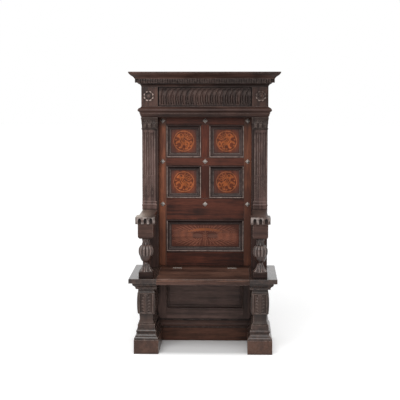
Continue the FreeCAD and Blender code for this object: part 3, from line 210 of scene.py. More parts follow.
class Graph:
    """Writes nodes into a shader or geometry tree."""

    def __init__(self, tree):
        self.tree = tree

    def feed(self, socket, value):
        if isinstance(value, Wire):
            self.tree.links.new(value.socket, socket)
        else:
            socket.default_value = value

    def node(self, kind, inputs=None, **settings):
        made = self.tree.nodes.new(kind)
        for name, value in settings.items():
            setattr(made, name, value)
        for name, value in (inputs or {}).items():
            self.feed(made.inputs[name], value)
        return made

    def wire(self, kind, inputs=None, output=0, **settings):
        return Wire(self, self.node(kind, inputs, **settings).outputs[output])

    def math(self, operation, *values):
        return self.wire("ShaderNodeMath", dict(enumerate(values)), operation=operation)

    def most(self, first, second=0):
        return self.math("MAXIMUM", first, second)

    def least(self, first, second=1):
        return self.math("MINIMUM", first, second)

    def root(self, value):
        return self.math("SQRT", value)

    def vector_math(self, operation, *values, output=0):
        return self.wire("ShaderNodeVectorMath", dict(enumerate(values)), output, operation=operation)

    def split(self, vector):
        node = self.node("ShaderNodeSeparateXYZ", {0: vector})
        return [Wire(self, socket) for socket in node.outputs]

    def combine(self, *parts):
        return self.wire("ShaderNodeCombineXYZ", dict(enumerate(parts)))

    def ramp(self, value, low, high):
        """0 below low, 1 above high, smooth between."""
        return self.wire("ShaderNodeMapRange", {0: value, 1: low, 2: high}, interpolation_type="SMOOTHSTEP")

    def noise(self, vector, scale, detail=3, roughness=0.55):
        return self.wire("ShaderNodeTexNoise", {"Vector": vector, "Scale": scale, "Detail": detail,
                                                "Roughness": roughness})

    def blend(self, share, first, second):
        """Mix two colours."""
        as_colour = [value if isinstance(value, Wire) else (*value, 1) for value in (first, second)]
        return self.wire("ShaderNodeMix", {0: share, 6: as_colour[0], 7: as_colour[1]}, 2, data_type="RGBA")

    def place(self):
        return self.wire("ShaderNodeTexCoord", output="Object")

    def normal(self):
        return self.wire("ShaderNodeNewGeometry", output="Normal")

    def join(self, shapes):
        joined = self.node("GeometryNodeJoinGeometry")
        for shape in shapes:
            self.feed(joined.inputs[0], shape)
        return Wire(self, joined.outputs[0])

    def move(self, shape, **inputs):
        return self.wire("GeometryNodeTransform", {"Geometry": shape, **inputs})

    def mark(self, shape, value):
        """Store where a shape gets wear and a painted highlight, over 0, or painted shade in a hollow, under 0."""
        return self.wire("GeometryNodeStoreNamedAttribute", {"Geometry": shape, "Name": "crest", "Value": value})


def bare_graph(holder):
    """The emptied node tree of a material or of the world."""
    holder.use_nodes = True
    holder.node_tree.nodes.clear()
    return Graph(holder.node_tree)


def new_material(name):
    material = bpy.data.materials.new(name)
    graph = bare_graph(material)
    shader = graph.node("ShaderNodeBsdfPrincipled")
    graph.node("ShaderNodeOutputMaterial", {"Surface": Wire(graph, shader.outputs[0])})
    return material, graph, shader


# How near a neighbouring face has to be to shelter a spot, which then gets dirt and painted shade, and how far the
# grain is drawn out along its axis
SHELTER, DRAWN_OUT = 0.035, 0.07


def surface_marks(graph, wear_reach):
    """How open a spot is, and how near to an edge it lies."""
    open_sky = graph.wire("ShaderNodeAmbientOcclusion", {"Distance": SHELTER}, "AO", samples=6)
    rounded = graph.wire("ShaderNodeBevel", {"Radius": wear_reach}, samples=6)
    return open_sky, 1 - graph.vector_math("DOT_PRODUCT", rounded, graph.normal(), output="Value")


def wood(name, light, shade, axis, wear=0.6, grime_and_shade=0.7, sheen=0.42, shine=0.16, carved=1, overlay=None):
    """Waxed old wood with its grain along one axis. A mesh's crest marks ridges, which get wear and a painted
    highlight, and hollows, which get painted shade; sheltered spots get dirt and painted shade.
    """
    material, graph, shader = new_material(name)
    settings = finishes()
    deep, dim = ([part * share for part in shade] for share in (0.25, 0.6))
    place = graph.place()
    parts = graph.split(place)
    # Painted shade: the upper right side darker, by the right-side share
    darker = graph.ramp(parts[0], -0.3, 0.3) * graph.ramp(parts[2], 0.5, 0.9) * settings.right_side_shade
    parts["XYZ".index(axis)] *= DRAWN_OUT
    along = graph.combine(*parts)
    clouds = graph.noise(place, 5, 3)
    warp = graph.noise(along, 9, 2)
    bands = graph.noise(along, 42, 5, 0.6)
    dashes = graph.noise(along, 95, 3, 0.6)
    fibres = graph.noise(along, 260, 3, 0.6)
    pores = graph.ramp(graph.noise(along, 700, 2), 0.6, 0.72)
    figure = graph.ramp(bands * 0.6 + warp * 0.45 + (clouds - 0.5) * 0.45, 0.4, 0.66)
    base = graph.blend(figure, shade, light)
    base = graph.blend(graph.ramp(dashes, 0.56, 0.7) * 0.45, base, dim)
    for share in ((1 - graph.ramp(fibres, 0.3, 0.75)) * 0.35, pores * 0.35, darker):
        base = graph.blend(share, base, deep)
    open_sky, turn = surface_marks(graph, settings.wear_reach)
    if overlay:
        base = overlay(graph, place, base)
    crest = graph.wire("ShaderNodeAttribute", output="Fac", attribute_name="crest") * carved
    ridge = graph.most(crest)
    valley = graph.most(-crest)
    # Dirt and painted shade: spots that the AO finds sheltered, and carved valleys, turn dark
    dirt_and_shade = graph.least((1 - graph.ramp(open_sky, 0.2, 0.95)) * grime_and_shade + valley * 0.85)
    base = graph.blend(dirt_and_shade, base, deep)
    rub = graph.noise(place, 38, 4, 0.65)
    rubbed = graph.ramp(rub, 0.32, 0.6)
    # Wear on rubbed edges, plus a painted highlight on carved ridges
    worn = graph.ramp(turn, 0.015, 0.2) * rubbed * graph.ramp(open_sky, 0.5, 0.9) * wear
    worn = graph.least(worn + ridge * (rubbed * 0.4 + 0.25))
    base = graph.blend(worn, base, tuple(settings.worn_edge_and_highlight))
    graph.feed(shader.inputs["Base Color"], base)
    polish = sheen + (rub - 0.5) * 0.2 + dirt_and_shade * 0.25 - worn * 0.06
    graph.feed(shader.inputs["Roughness"], polish)
    height = bands * 0.35 + fibres * 0.5 - pores * 0.5 + clouds * 0.3
    bump = graph.wire("ShaderNodeBump", {"Strength": 0.25, "Distance": 0.0015, "Height": height})
    graph.feed(shader.inputs["Normal"], bump)
    shader.inputs["Specular IOR Level"].default_value = shine
    return material


# Colours that age has left on the wood and the iron, and colours of painted light and shade
PATINA = {name: linear(*steps) for name, *steps in (
    ("stile_foot_dark", 76, 48, 38), ("architrave_shadow", 58, 43, 38), ("stile_light_band", 136, 86, 60), ("stile_right_shade", 58, 36, 28),
    ("bead_shade", 62, 45, 39), ("seam_shadow", 24, 16, 14), ("recess_shade", 34, 22, 20), ("block_shade", 50, 36, 33),
    ("slope_highlight", 134, 122, 112), ("arm_top_highlight", 190, 172, 156), ("arm_lip_highlight", 172, 160, 154),
    ("rust", 92, 70, 58), ("iron_dirt", 30, 24, 22), ("bright_iron", 196, 190, 184),
)}


def roundel_places():
    """Middle plane to a roundel's centre, the two levels of the centres and the radius."""
    low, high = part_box("roundel_inlays")
    apart = (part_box("roundel_panels")[1].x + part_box("back_muntins")[1].x) / 2
    radius = high.x - apart
    return apart, (low.z + radius, high.z - radius), radius


def panel_corner_darkening(graph, place, base):
    """Darkens a roundel panel towards its corners."""
    apart, (lower, upper), radius = roundel_places()
    x, _, z = graph.split(place)
    aside = abs(x) - apart
    over = abs(z - (lower + upper) / 2) - (upper - lower) / 2
    far = graph.root(aside * aside + over * over) / radius
    return graph.blend(graph.ramp(far, 0.92, 1.5) * 0.85, base, tuple(finishes().field_edge))


def stile_light_and_shade(graph, place, base):
    """Uprights darker from the lower panel's top down, with painted shade on the right and beside the mouldings, a
    painted shadow under the architrave and a painted band of light on the left stile beside the lower panel.
    """
    x, _, z = graph.split(place)
    low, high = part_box("lower_panel")
    beside = 1 - graph.ramp(abs(x - low.x + 0.016), 0.004, 0.016)
    level = 1 - graph.ramp(abs(z - (low.z + high.z) / 2), 0.11, 0.17)
    base = graph.blend((1 - graph.ramp(z, high.z - 0.04, high.z + 0.13)) * 0.5, base, PATINA["stile_foot_dark"])
    # Painted light: a pale band on the left stile, level with the lower panel
    base = graph.blend(beside * level * 0.4, base, PATINA["stile_light_band"])
    # Painted shade on the right side, and beside the mouldings
    right = graph.ramp(x, 0.1, 0.3)
    base = graph.blend(right * 0.25, base, PATINA["stile_right_shade"])
    inner = 1 - graph.ramp(abs(x), high.x + 0.003, high.x + 0.016)
    base = graph.blend(inner * (0.6 - right * 0.35), base, PATINA["bead_shade"])
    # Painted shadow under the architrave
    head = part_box("back_stiles")[1].z
    return graph.blend(graph.ramp(z, head - 0.1, head - 0.045) * 0.75, base, PATINA["architrave_shadow"])


def reveal_shade(graph, place, base):
    """Painted shade on the posts' inner faces and on their front faces, in the recess beside the pilasters."""
    aside, forward, _ = graph.split(graph.normal())
    inward = -aside * graph.math("SIGN", graph.split(place)[0])
    sheltered = graph.most(graph.ramp(inward, 0.4, 0.9), graph.ramp(-forward, 0.4, 0.9) * 0.85)
    return graph.blend(sheltered * 0.7, base, PATINA["recess_shade"])


def right_block_shade(graph, place, base):
    """Painted shade on the right-hand arm block."""
    return graph.blend(graph.ramp(graph.split(place)[0], -0.1, 0.1) * 0.55, base, PATINA["block_shade"])


def seam_shadows(graph, place, base):
    """Painted shadow in the seams above and below the moulding over the plinth."""
    up = graph.split(place)[2]
    for name in ("plinth_board", "base_moulding"):
        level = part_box(name)[1].z
        near = 1 - graph.ramp(abs(up - level), 0.004, 0.011)
        base = graph.blend(near * 0.8, base, PATINA["seam_shadow"])
    return base


def highlight_slopes(graph, place, base):
    """Painted highlight in patches on the upward-facing slopes of the legs, above the feet."""
    upward = graph.split(graph.normal())[2]
    patch = graph.ramp(graph.noise(place, 14, 2), 0.35, 0.65) * graph.ramp(graph.split(place)[2], 0.18, 0.22)
    return graph.blend(graph.ramp(upward, 0.05, 0.4) * (patch * 0.4 + 0.03), base, PATINA["slope_highlight"])


def arm_highlights(graph, place, base):
    """Painted highlights on the arms: on their tops, strongest on the outer front of the left arm, and in patches on
    their foremost forward faces.
    """
    _, forward, upward = graph.split(graph.normal())
    x, y, _ = graph.split(place)
    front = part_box("arm_rest_left")[0].y
    outside = (1 - graph.ramp(x, -0.47, -0.35)) * (1 - graph.ramp(y, front + 0.1, front + 0.35) * 0.6)
    base = graph.blend(graph.ramp(upward, 0.6, 0.95) * (outside * 0.7 + 0.04), base, PATINA["arm_top_highlight"])
    foremost = 1 - graph.ramp(y, front + 0.003, front + 0.008)
    patch = graph.ramp(graph.noise(place, 34, 2), 0.38, 0.62)
    return graph.blend(graph.ramp(-forward, 0.5, 0.9) * foremost * (patch * 0.5 + 0.12), base, PATINA["arm_lip_highlight"])


def old_iron(name, steel):
    """Dull dark iron with lighter rubbed edges and a trace of rust."""
    material, graph, shader = new_material(name)
    place = graph.place()
    blotch = graph.noise(place, 90, 4, 0.6)
    speck = graph.noise(place, 420, 3, 0.6)
    base = graph.blend(graph.ramp(blotch, 0.5, 0.75) * 0.5, steel, PATINA["rust"])
    open_sky, turn = surface_marks(graph, 0.002)
    base = graph.blend((1 - open_sky) * 0.7, base, PATINA["iron_dirt"])
    base = graph.blend(graph.ramp(turn, 0.02, 0.2) * 0.6, base, PATINA["bright_iron"])
    graph.feed(shader.inputs["Base Color"], base)
    graph.feed(shader.inputs["Roughness"], 0.42 + (speck - 0.5) * 0.3)
    shader.inputs["Metallic"].default_value = 0.2
    bump = graph.wire("ShaderNodeBump", {"Strength": 0.25, "Distance": 0.0006, "Height": speck + blotch})
    graph.feed(shader.inputs["Normal"], bump)
    return material


# The finishes, each by its timber and what wear, dirt and wax have made of it, with the painted light and shade that
# some of them carry
WOODS = {
    "dark": ("dark", dict(wear=0.75)),
    "post": ("dark", dict(wear=0.6, grime_and_shade=0.45, overlay=reveal_shade)),
    "leg": ("leg", dict(wear=1.3, grime_and_shade=0.9, sheen=0.25, shine=0.3, overlay=highlight_slopes)),
    "base": ("base", dict(wear=0.5, shine=0.1)),
    "console": ("leg", dict(wear=0.5, grime_and_shade=0.9, sheen=0.3, shine=0.25, carved=0.38)),
    "block": ("block", dict(wear=1.1, overlay=right_block_shade)),
    "petal": ("dark", dict(wear=0.6, grime_and_shade=0.6, carved=1.2)),
    "turned": ("dark", dict(wear=0.6, sheen=0.3, shine=0.4)),
    "deep": ("deep", dict(wear=0.6, grime_and_shade=0.45)),
    "bead": ("bead", dict(wear=0.3, grime_and_shade=0.5)),
    "arm": ("dark", dict(wear=1.2, grime_and_shade=2.2, sheen=0.34, shine=0.2, overlay=arm_highlights)),
    "ledge": ("leg", dict(wear=0.7, sheen=0.16, shine=0.36)),
    "stile": ("stile", dict(wear=0.4, grime_and_shade=0.6, overlay=stile_light_and_shade)),
    "muntin": ("muntin", dict(wear=0.4, grime_and_shade=0.6)),
    "rail": ("rail", dict(wear=0.4, grime_and_shade=0.6)),
    "plinth": ("plinth", dict(wear=0.5, grime_and_shade=0.6, overlay=seam_shadows)),
    "band": ("dark", dict(wear=0.75, overlay=seam_shadows)),
    "field": ("field", dict(wear=0.2, grime_and_shade=0.9, overlay=panel_corner_darkening)),
    "apron": ("apron", dict(wear=0.2, grime_and_shade=0.5, sheen=0.34, overlay=seam_shadows)),
    "seat": ("seat", dict(wear=0.7, sheen=0.34)),
    "foot": ("foot", dict(wear=1.3, sheen=0.28, shine=0.28)),
    "pilaster": ("pilaster", dict(wear=0.6, grime_and_shade=0.85, carved=0.35)),
    "capital": ("capital", dict(wear=0.5, grime_and_shade=0.9, carved=0.45)),
    "pine": ("pine", dict(wear=0.25, grime_and_shade=0.4, sheen=0.6)),
}


def finish(kind, axis="Z"):
    """One of the throne's finishes, made on first use."""
    name = f"{kind}_wood_{axis.lower()}"
    timber, looks = WOODS[kind]
    tones = [tuple(getattr(finishes(), f"{timber}_{grain}")) for grain in GRAINS]
    return bpy.data.materials.get(name) or wood(name, *tones, axis, **looks)


def inlay_wood(name, axis):
    """Veneer of an inlay: little grime and a soft polish."""
    light = tuple(getattr(finishes(), name))
    shade = tuple(part * 0.5 for part in light)
    return bpy.data.materials.get(name) or wood(name, light, shade, axis, wear=0.1, grime_and_shade=0.5, sheen=0.4)


# Meshes


def set_out(name, data):
    """A new object in the scene."""
    made = bpy.data.objects.new(name, data)
    bpy.context.scene.collection.objects.link(made)
    return made


def new_piece(name, points, faces, material, angle=32, crest=None):
    """A closed piece from its corners and faces, smooth except over sharp turns."""
    mesh = bpy.data.meshes.new(name)
    mesh.from_pydata([tuple(map(float, point)) for point in points], [], [tuple(face) for face in faces])
    if crest is not None:
        mesh.attributes.new("crest", "FLOAT", "POINT").data.foreach_set("value", np.array(crest, np.float32))
    shape = bmesh.new()
    shape.from_mesh(mesh)
    bmesh.ops.remove_doubles(shape, verts=shape.verts, dist=1e-6)
    bmesh.ops.recalc_face_normals(shape, faces=shape.faces)
    shape.to_mesh(mesh)
    shape.free()
    return show_mesh(name, mesh, material, angle)


def show_mesh(name, mesh, material, angle=32):
    mesh.name = name
    mesh.shade_smooth()
    mesh.set_sharp_from_angle(angle=math.radians(angle))
    mesh.materials.clear()
    mesh.materials.append(material)
    return set_out(name, mesh)


def settle(piece, slot, *nodes, body="frame"):
    """Let a piece ride on its body and stand for its nodes, which it hides. The slot is not used."""
    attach(piece, body)
    if nodes:
        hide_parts(*nodes)
    return piece


def grid_faces(rows, columns, closed=False, first=0):
    """Quads of a grid of points, row by row; closed joins each row's end to its start."""
    faces = []
    for row in range(rows - 1):
        for column in range(columns if closed else columns - 1):
            after = (column + 1) % columns
            here = first + row * columns
            faces.append((here + column, here + after, here + columns + after, here + columns + column))
    return faces


def wall(near, far, closed=True):
    """Quads between two lines of as many points; closed joins their ends."""
    pairs = list(zip(near, far))
    after = pairs[1:] + pairs[:1] if closed else pairs[1:]
    return [(a, b, d, c) for (a, b), (c, d) in zip(pairs, after)]


def rim_of(rows, columns):
    """The outer points of a grid, once round."""
    rim = list(range(columns))
    rim += [row * columns + columns - 1 for row in range(1, rows)]
    rim += [(rows - 1) * columns + column for column in range(columns - 2, -1, -1)]
    return rim + [row * columns for row in range(rows - 2, 0, -1)]


def relief(across, up, front, back):
    """A carved tablet that faces front: its face is front[row, column] in Y, its back is flat."""
    rows, columns = front.shape
    points = [(across[column], front[row, column], up[row]) for row in range(rows) for column in range(columns)]
    rim = rim_of(rows, columns)
    behind = tuple(range(len(points), len(points) + len(rim)))
    points += [(points[index][0], back, points[index][2]) for index in rim]
    return points, grid_faces(rows, columns) + wall(rim, behind) + [behind]


def crest_of(height, reach):
    """How far each spot of a carved face stands over its surroundings, from -1 to 1."""
    mean = height
    for axis in (0, 1):
        padded = np.pad(mean, [(reach, reach) if side == axis else (0, 0) for side in (0, 1)], "edge")
        size = height.shape[axis]
        mean = sum(np.take(padded, range(shift, shift + size), axis) for shift in range(2 * reach + 1))
        mean = mean / (2 * reach + 1)
    over = height - mean
    return np.clip(over / (np.abs(over).max() * 0.6), -1, 1)


def merge_pieces(parts):
    """Several (points, faces) pairs as one."""
    points, faces = [], []
    for some_points, some_faces in parts:
        start = len(points)
        points += list(some_points)
        faces += [tuple(index + start for index in face) for face in some_faces]
    return points, faces


def smooth_line(points, steps=8, closed=False):
    """A curve through points, as closely spaced points."""
    points = [np.array(point, float) for point in points]
    count = len(points)
    spans = count if closed else count - 1
    line = []
    for index in range(spans):
        around = range(index - 1, index + 3)
        near = [points[at % count if closed else min(max(at, 0), count - 1)] for at in around]
        for step in range(steps):
            t = step / steps
            line.append(0.5 * (2 * near[1] + (near[2] - near[0]) * t
                               + (2 * near[0] - 5 * near[1] + 4 * near[2] - near[3]) * t * t
                               + (3 * near[1] - near[0] - 3 * near[2] + near[3]) * t ** 3))
    if not closed:
        line.append(points[-1])
    return line


def plate(outline, front, back):
    """A flat plate facing front, cut to an outline in X and Z."""
    count = len(outline)
    points = [(x, front, z) for x, z in outline] + [(x, back, z) for x, z in outline]
    front_face, back_face = tuple(range(count)), tuple(range(count, 2 * count))
    return points, [front_face, back_face[::-1]] + wall(front_face, back_face)


def slab(left, right, front, back, closed=False):
    """A flat band between two lines of points in X and Z; closed makes it a ring."""
    count = len(left)
    points = [(x, y, z) for y in (front, back) for line in (left, right) for x, z in line]
    lines = [range(first, first + count) for first in range(0, 4 * count, count)]
    faces = []
    for near, far in ((1, 0), (2, 3), (0, 2), (3, 1)):
        faces += wall(lines[near], lines[far], closed)
    if not closed:
        faces += [(end, count + end, 3 * count + end, 2 * count + end) for end in (0, count - 1)]
    return points, faces


def ribbon(path, widths, front, back):
    """A flat band along a path in X and Z, as wide as widths says from end to end."""
    line = smooth_line(path)
    shares = np.linspace(0, 1, len(line))
    halves = np.interp(shares, np.linspace(0, 1, len(widths)), widths) / 2
    left, right = [], []
    for index, point in enumerate(line):
        before = line[max(index - 1, 0)]
        after = line[min(index + 1, len(line) - 1)]
        run = (after - before) / max(np.hypot(*(after - before)), 1e-9)
        aside = np.array((-run[1], run[0])) * halves[index]
        left.append(point + aside)
        right.append(point - aside)
    return slab(left, right, front, back)


# Geometry node trees


def new_tree(name, inputs):
    """A geometry tree with named inputs; returns its graph and the wires of the inputs."""
    tree = bpy.data.node_groups.new(name, "GeometryNodeTree")
    tree.interface.new_socket("Geometry", in_out="OUTPUT", socket_type="NodeSocketGeometry")
    for label, kind in inputs.items():
        tree.interface.new_socket(label, in_out="INPUT", socket_type=kind)
    graph = Graph(tree)
    entry = graph.node("NodeGroupInput")
    return graph, {label: Wire(graph, entry.outputs[label]) for label in inputs}


def close_tree(graph, shape, material):
    """End a tree in real geometry with its material."""
    real = graph.wire("GeometryNodeRealizeInstances", {0: shape})
    dressed = graph.wire("GeometryNodeSetMaterial", {"Geometry": real, "Material": material})
    graph.node("NodeGroupOutput", {0: dressed})


def grow(name, graph, values, material, angle=32):
    """Evaluate a tree with its inputs set and keep the result as a plain mesh."""
    holder = set_out(f"{name}_holder", bpy.data.meshes.new(f"{name}_holder"))
    modifier = holder.modifiers.new("tree", "NODES")
    modifier.node_group = graph.tree
    for item in graph.tree.interface.items_tree:
        if item.in_out == "INPUT":
            modifier[item.identifier] = values[item.name]
    depsgraph = bpy.context.evaluated_depsgraph_get()
    mesh = bpy.data.meshes.new_from_object(holder.evaluated_get(depsgraph))
    holder.modifiers.remove(modifier)
    bpy.data.objects.remove(holder)
    if not mesh.polygons:
        raise RuntimeError(f"{name} grew no faces")
    return show_mesh(name, mesh, material, angle)


FLOAT = "NodeSocketFloat"
COUNT = "NodeSocketInt"
OBJECT = "NodeSocketObject"


# The carcass: CAD boards with eased edges and their grain

BOARDS = {
    ("dark", "X"): ("seat_front_rail",),
    ("band", "X"): ("base_moulding",),
    ("dark", "Z"): ("frieze_blocks",),
    ("block", "X"): both("arm_block"),
    ("leg", "Y"): both("leg_base") + both("leg_cap"),
    ("leg", "Z"): both("leg_die"),
    ("post", "Z"): both("back_post"),
    ("base", "X"): both("baluster_base"),
    ("arm", "Y"): both("arm_rest"),
    ("ledge", "Y"): both("seat_ledge"),
    ("foot", "Y"): both("foot_runner"),
    ("pilaster", "Z"): both("pilaster_base"),
    ("capital", "Z"): both("pilaster_capital"),
    ("rail", "X"): ("back_rails",),
    ("plinth", "X"): ("plinth_board", "seat_rear_strip"),
    ("muntin", "Z"): ("back_muntins",),
    ("field", "X"): ("lower_panel",),
    ("field", "Z"): ("roundel_panels",),
    ("apron", "X"): ("apron_panel", "apron_rails"),
    ("apron", "Z"): ("apron_stiles",),
    ("seat", "X"): ("seat_board",),
    ("seat", "Y"): ("seat_bearers", "seat_battens"),
    ("stile", "Z"): ("back_stiles",),
    ("pine", "X"): ("base_rear_board", "cornice_top_board"),
    ("pine", "Z"): ("rear_boards",),
}
IRONWORK = {"iron": ("diamond_studs",), "hinge_iron": ("hinge_frame_leaves", "hinge_seat_leaves", "hinge_pins")}
CORNICE = ("architrave", "bed_moulding", "dentil_course", "crown_moulding")
# Share of the usual rounding that a node's edges get
EASE_SHARE = {
    **dict.fromkeys(both("pilaster_capital"), 0), **dict.fromkeys(both("arm_rest"), 1.8), "dentil_course": 0.6,
}
# Edges sharper than the first are rounded, faces flatter than the second are joined
SHARP, FLAT = math.radians(33), math.radians(0.6)


def ease_edges(node, width):
    """Round the sawn edges of a CAD board without touching its mesh."""
    weld = node.modifiers.new("weld", "WELD")
    weld.merge_threshold = 1e-5
    if not width:
        return
    flat = node.modifiers.new("flat", "DECIMATE")
    flat.decimate_type = "DISSOLVE"
    flat.angle_limit = FLAT
    bevel = node.modifiers.new("ease", "BEVEL")
    bevel.width = width
    bevel.segments = 2
    bevel.limit_method = "ANGLE"
    bevel.angle_limit = SHARP
    bevel.miter_outer = "MITER_ARC"
    normals = node.modifiers.new("normals", "WEIGHTED_NORMAL")
    normals.weight = 80


def dress(node, material):
    """Give a CAD node one finish all over."""
    if not node.material_slots:
        node.data.materials.append(material)
    for slot in node.material_slots:
        slot.material = material


class THRONE_OT_carcass(bpy.types.Operator):
    """Finish the joiner's boards and the ironwork"""

    bl_idname = "throne.carcass"
    bl_label = "Carcass"

    def execute(self, context):
        ease = finishes().edge_ease
        for (kind, axis), names in BOARDS.items():
            for name in names:
                dress(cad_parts[name], finish(kind, axis))
                ease_edges(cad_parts[name], ease * EASE_SHARE.get(name, 1))
        for iron, names in IRONWORK.items():
            material = old_iron(iron, tuple(getattr(finishes(), iron)))
            for name in names:
                dress(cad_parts[name], material)
                ease_edges(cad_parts[name], ease * 0.3)
        return {"FINISHED"}


# Cornice: runs joined at their mitres, with eased edges


def corners_of(node):
    return [node.matrix_world @ vertex.co for vertex in node.data.vertices]


def joined_runs(node, width):
    """The runs of a moulding as one skin without the faces inside the mitres, its edges rounded."""
    node.data.calc_loop_triangles()
    corners = [tuple(round(part, 5) for part in corner) for corner in corners_of(node)]
    numbers = {corner: index for index, corner in enumerate(dict.fromkeys(corners))}
    faces = [tuple(numbers[corners[index]] for index in face.vertices) for face in node.data.loop_triangles]
    seen = {}
    for face in faces:
        seen[frozenset(face)] = seen.get(frozenset(face), 0) + 1
    shape = bmesh.new()
    points = [shape.verts.new(corner) for corner in numbers]
    for face in faces:
        if seen[frozenset(face)] == 1 and len(set(face)) == 3:
            shape.faces.new([points[index] for index in face])
    bmesh.ops.dissolve_limit(shape, angle_limit=FLAT, verts=shape.verts, edges=shape.edges)
    if any(not edge.is_manifold for edge in shape.edges):
        raise RuntimeError(f"{node.name} is not closed")
    sharp = [edge for edge in shape.edges if edge.calc_face_angle() > SHARP]
    bmesh.ops.bevel(shape, geom=sharp, offset=width, segments=2, profile=0.6, affect="EDGES", clamp_overlap=True)
    mesh = bpy.data.meshes.new(node.name)
    shape.to_mesh(mesh)
    shape.free()
    return mesh


class THRONE_OT_cornice(bpy.types.Operator):
    """Finish the mouldings round the head"""

    bl_idname = "throne.cornice"
    bl_label = "Cornice"

    def execute(self, context):
        for name in CORNICE:
            mesh = joined_runs(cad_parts[name], finishes().edge_ease * EASE_SHARE.get(name, 1))
            kind = "dark" if name == "crown_moulding" else "deep"
            settle(show_mesh(f"{name}_run", mesh, finish(kind, "X"), 40), "dark_walnut", name)
        return {"FINISHED"}


# Panel mouldings

# From the outer edge in: inset, depth from the frame's face and how rubbed and lit, all in metres but the last; over
# 0 is wear with a painted highlight, under 0 painted shade
PANEL_BEAD = (
    (0.0000, 0.0000, -0.6), (0.0012, -0.0042, 0.5), (0.0040, -0.0068, 1.2), (0.0075, -0.0069, 1.0),
    (0.0105, -0.0042, 0.0), (0.0122, -0.0005, -0.9), (0.0150, 0.0022, -0.3), (0.0190, 0.0046, 0.35),
    (0.0262, 0.0060, -0.8), (0.0272, 0.0034, 0.2), (0.0300, 0.0026, 0.5), (0.0330, 0.0040, 0.0),
    (0.0350, 0.0088, -1.0), (0.0350, 0.0089, -1.0), (0.0000, 0.0089, -0.6),
)

# Width of a moulding over its roundel panel's height, and the scale of the moulding under the seat
BEAD_SHARE, APRON_SHRINK = 0.147, 0.74


def bead_frame(left, right, foot, head, face, shrink):
    """A mitred moulding round a panel, drawn as one ring of profiles; its upper side gets no painted highlight and a
    little more painted shade.
    """
    middle_x, middle_z, half_x, half_z = (left + right) / 2, (foot + head) / 2, (right - left) / 2, (head - foot) / 2
    points, crest = [], []
    corners = ((-1, -1), (1, -1), (1, 0.93), (1, 1), (-1, 1), (-1, 0.93))
    for inset, depth, rubbed in PANEL_BEAD:
        for side, up in corners:
            x = middle_x + side * (half_x - inset * shrink)
            z = middle_z + up * (half_z - inset * shrink)
            points.append((x, face + depth * shrink, z))
            crest.append(rubbed if up < 1 else min(rubbed, 0) - 0.15)
    faces = grid_faces(len(PANEL_BEAD), len(corners), closed=True)
    last = (len(PANEL_BEAD) - 1) * len(corners)
    return points, faces + wall(range(len(corners)), range(last, last + len(corners))), crest


def levels_of(node):
    """The heights at which a node has corners, from the lowest up."""
    return sorted({round(corner.z, 4) for corner in corners_of(node)})


class THRONE_OT_panel_beads(bpy.types.Operator):
    """Run the mouldings round the panels of the back and of the lower front"""

    bl_idname = "throne.panel_beads"
    bl_label = "Panel mouldings"

    def execute(self, context):
        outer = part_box("roundel_panels")[1].x
        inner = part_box("back_muntins")[1].x
        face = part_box("back_rails")[0].y
        heights = levels_of(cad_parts["roundel_panels"])
        shrink = (heights[1] - heights[0]) * BEAD_SHARE / PANEL_BEAD[-2][0]
        frames = [bead_frame(*sorted((side * inner, side * outer)), *levels, face, shrink)
                  for levels in (heights[:2], heights[2:]) for _, side in SIDES]
        low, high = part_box("lower_panel")
        frames.append(bead_frame(low.x, high.x, low.z, high.z, face, shrink))
        piece = new_piece("panel_beads", *merge_pieces([part[:2] for part in frames]), finish("bead", "X"), 40,
                          [value for part in frames for value in part[2]])
        settle(piece, "dark_walnut", "panel_mouldings")
        low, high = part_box("apron_panel")
        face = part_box("apron_rails")[0].y
        *ring, crest = bead_frame(low.x, high.x, low.z, high.z, face, APRON_SHRINK)
        # Under the seat the moulding gets less painted highlight and more painted shade
        piece = new_piece("apron_beads", *ring, finish("apron", "X"), 40,
                          [min(value * 1.5 - 0.3, 0.3) for value in crest])
        settle(piece, "dark_walnut", "apron_moulding")
        return {"FINISHED"}


# Pilasters and frieze: boards with a row of flutes

FLUTED = ("Width", "Thickness", "Height", "Count", "Pitch", "Flute", "Depth", "Margin")


def fluted_board(graph, take, columns, rows):
    """A board as a grid. For each spot of it: places across and up, share of the flutes' height, place across its own
    flute from -1 to 1, room in that flute, and whether it lies among the flutes and on the face."""
    board = graph.wire("GeometryNodeMeshCube", {
        "Size": graph.combine(take["Width"], take["Thickness"], take["Height"]),
        "Vertices X": columns, "Vertices Y": 2, "Vertices Z": rows})
    across, through, up = graph.split(graph.wire("GeometryNodeInputPosition"))
    half = take["Flute"] / 2
    span = take["Height"] - take["Margin"] * 2
    share = up / span + 0.5
    step = across / take["Pitch"] + take["Count"] / 2
    aside = (graph.math("FRACT", step + 100) - 0.5) * take["Pitch"] / half
    to_head = graph.most(1 - (1 - share) * span / half)
    to_foot = graph.most(1 - share * span / half)
    room = 1 - aside * aside - to_head * to_head - to_foot * to_foot
    facing = graph.math("LESS_THAN", through, 0)
    among = graph.math("GREATER_THAN", step, 0) * graph.math("LESS_THAN", step, take["Count"]) * facing
    return board, across, up, share, aside, room, among, facing


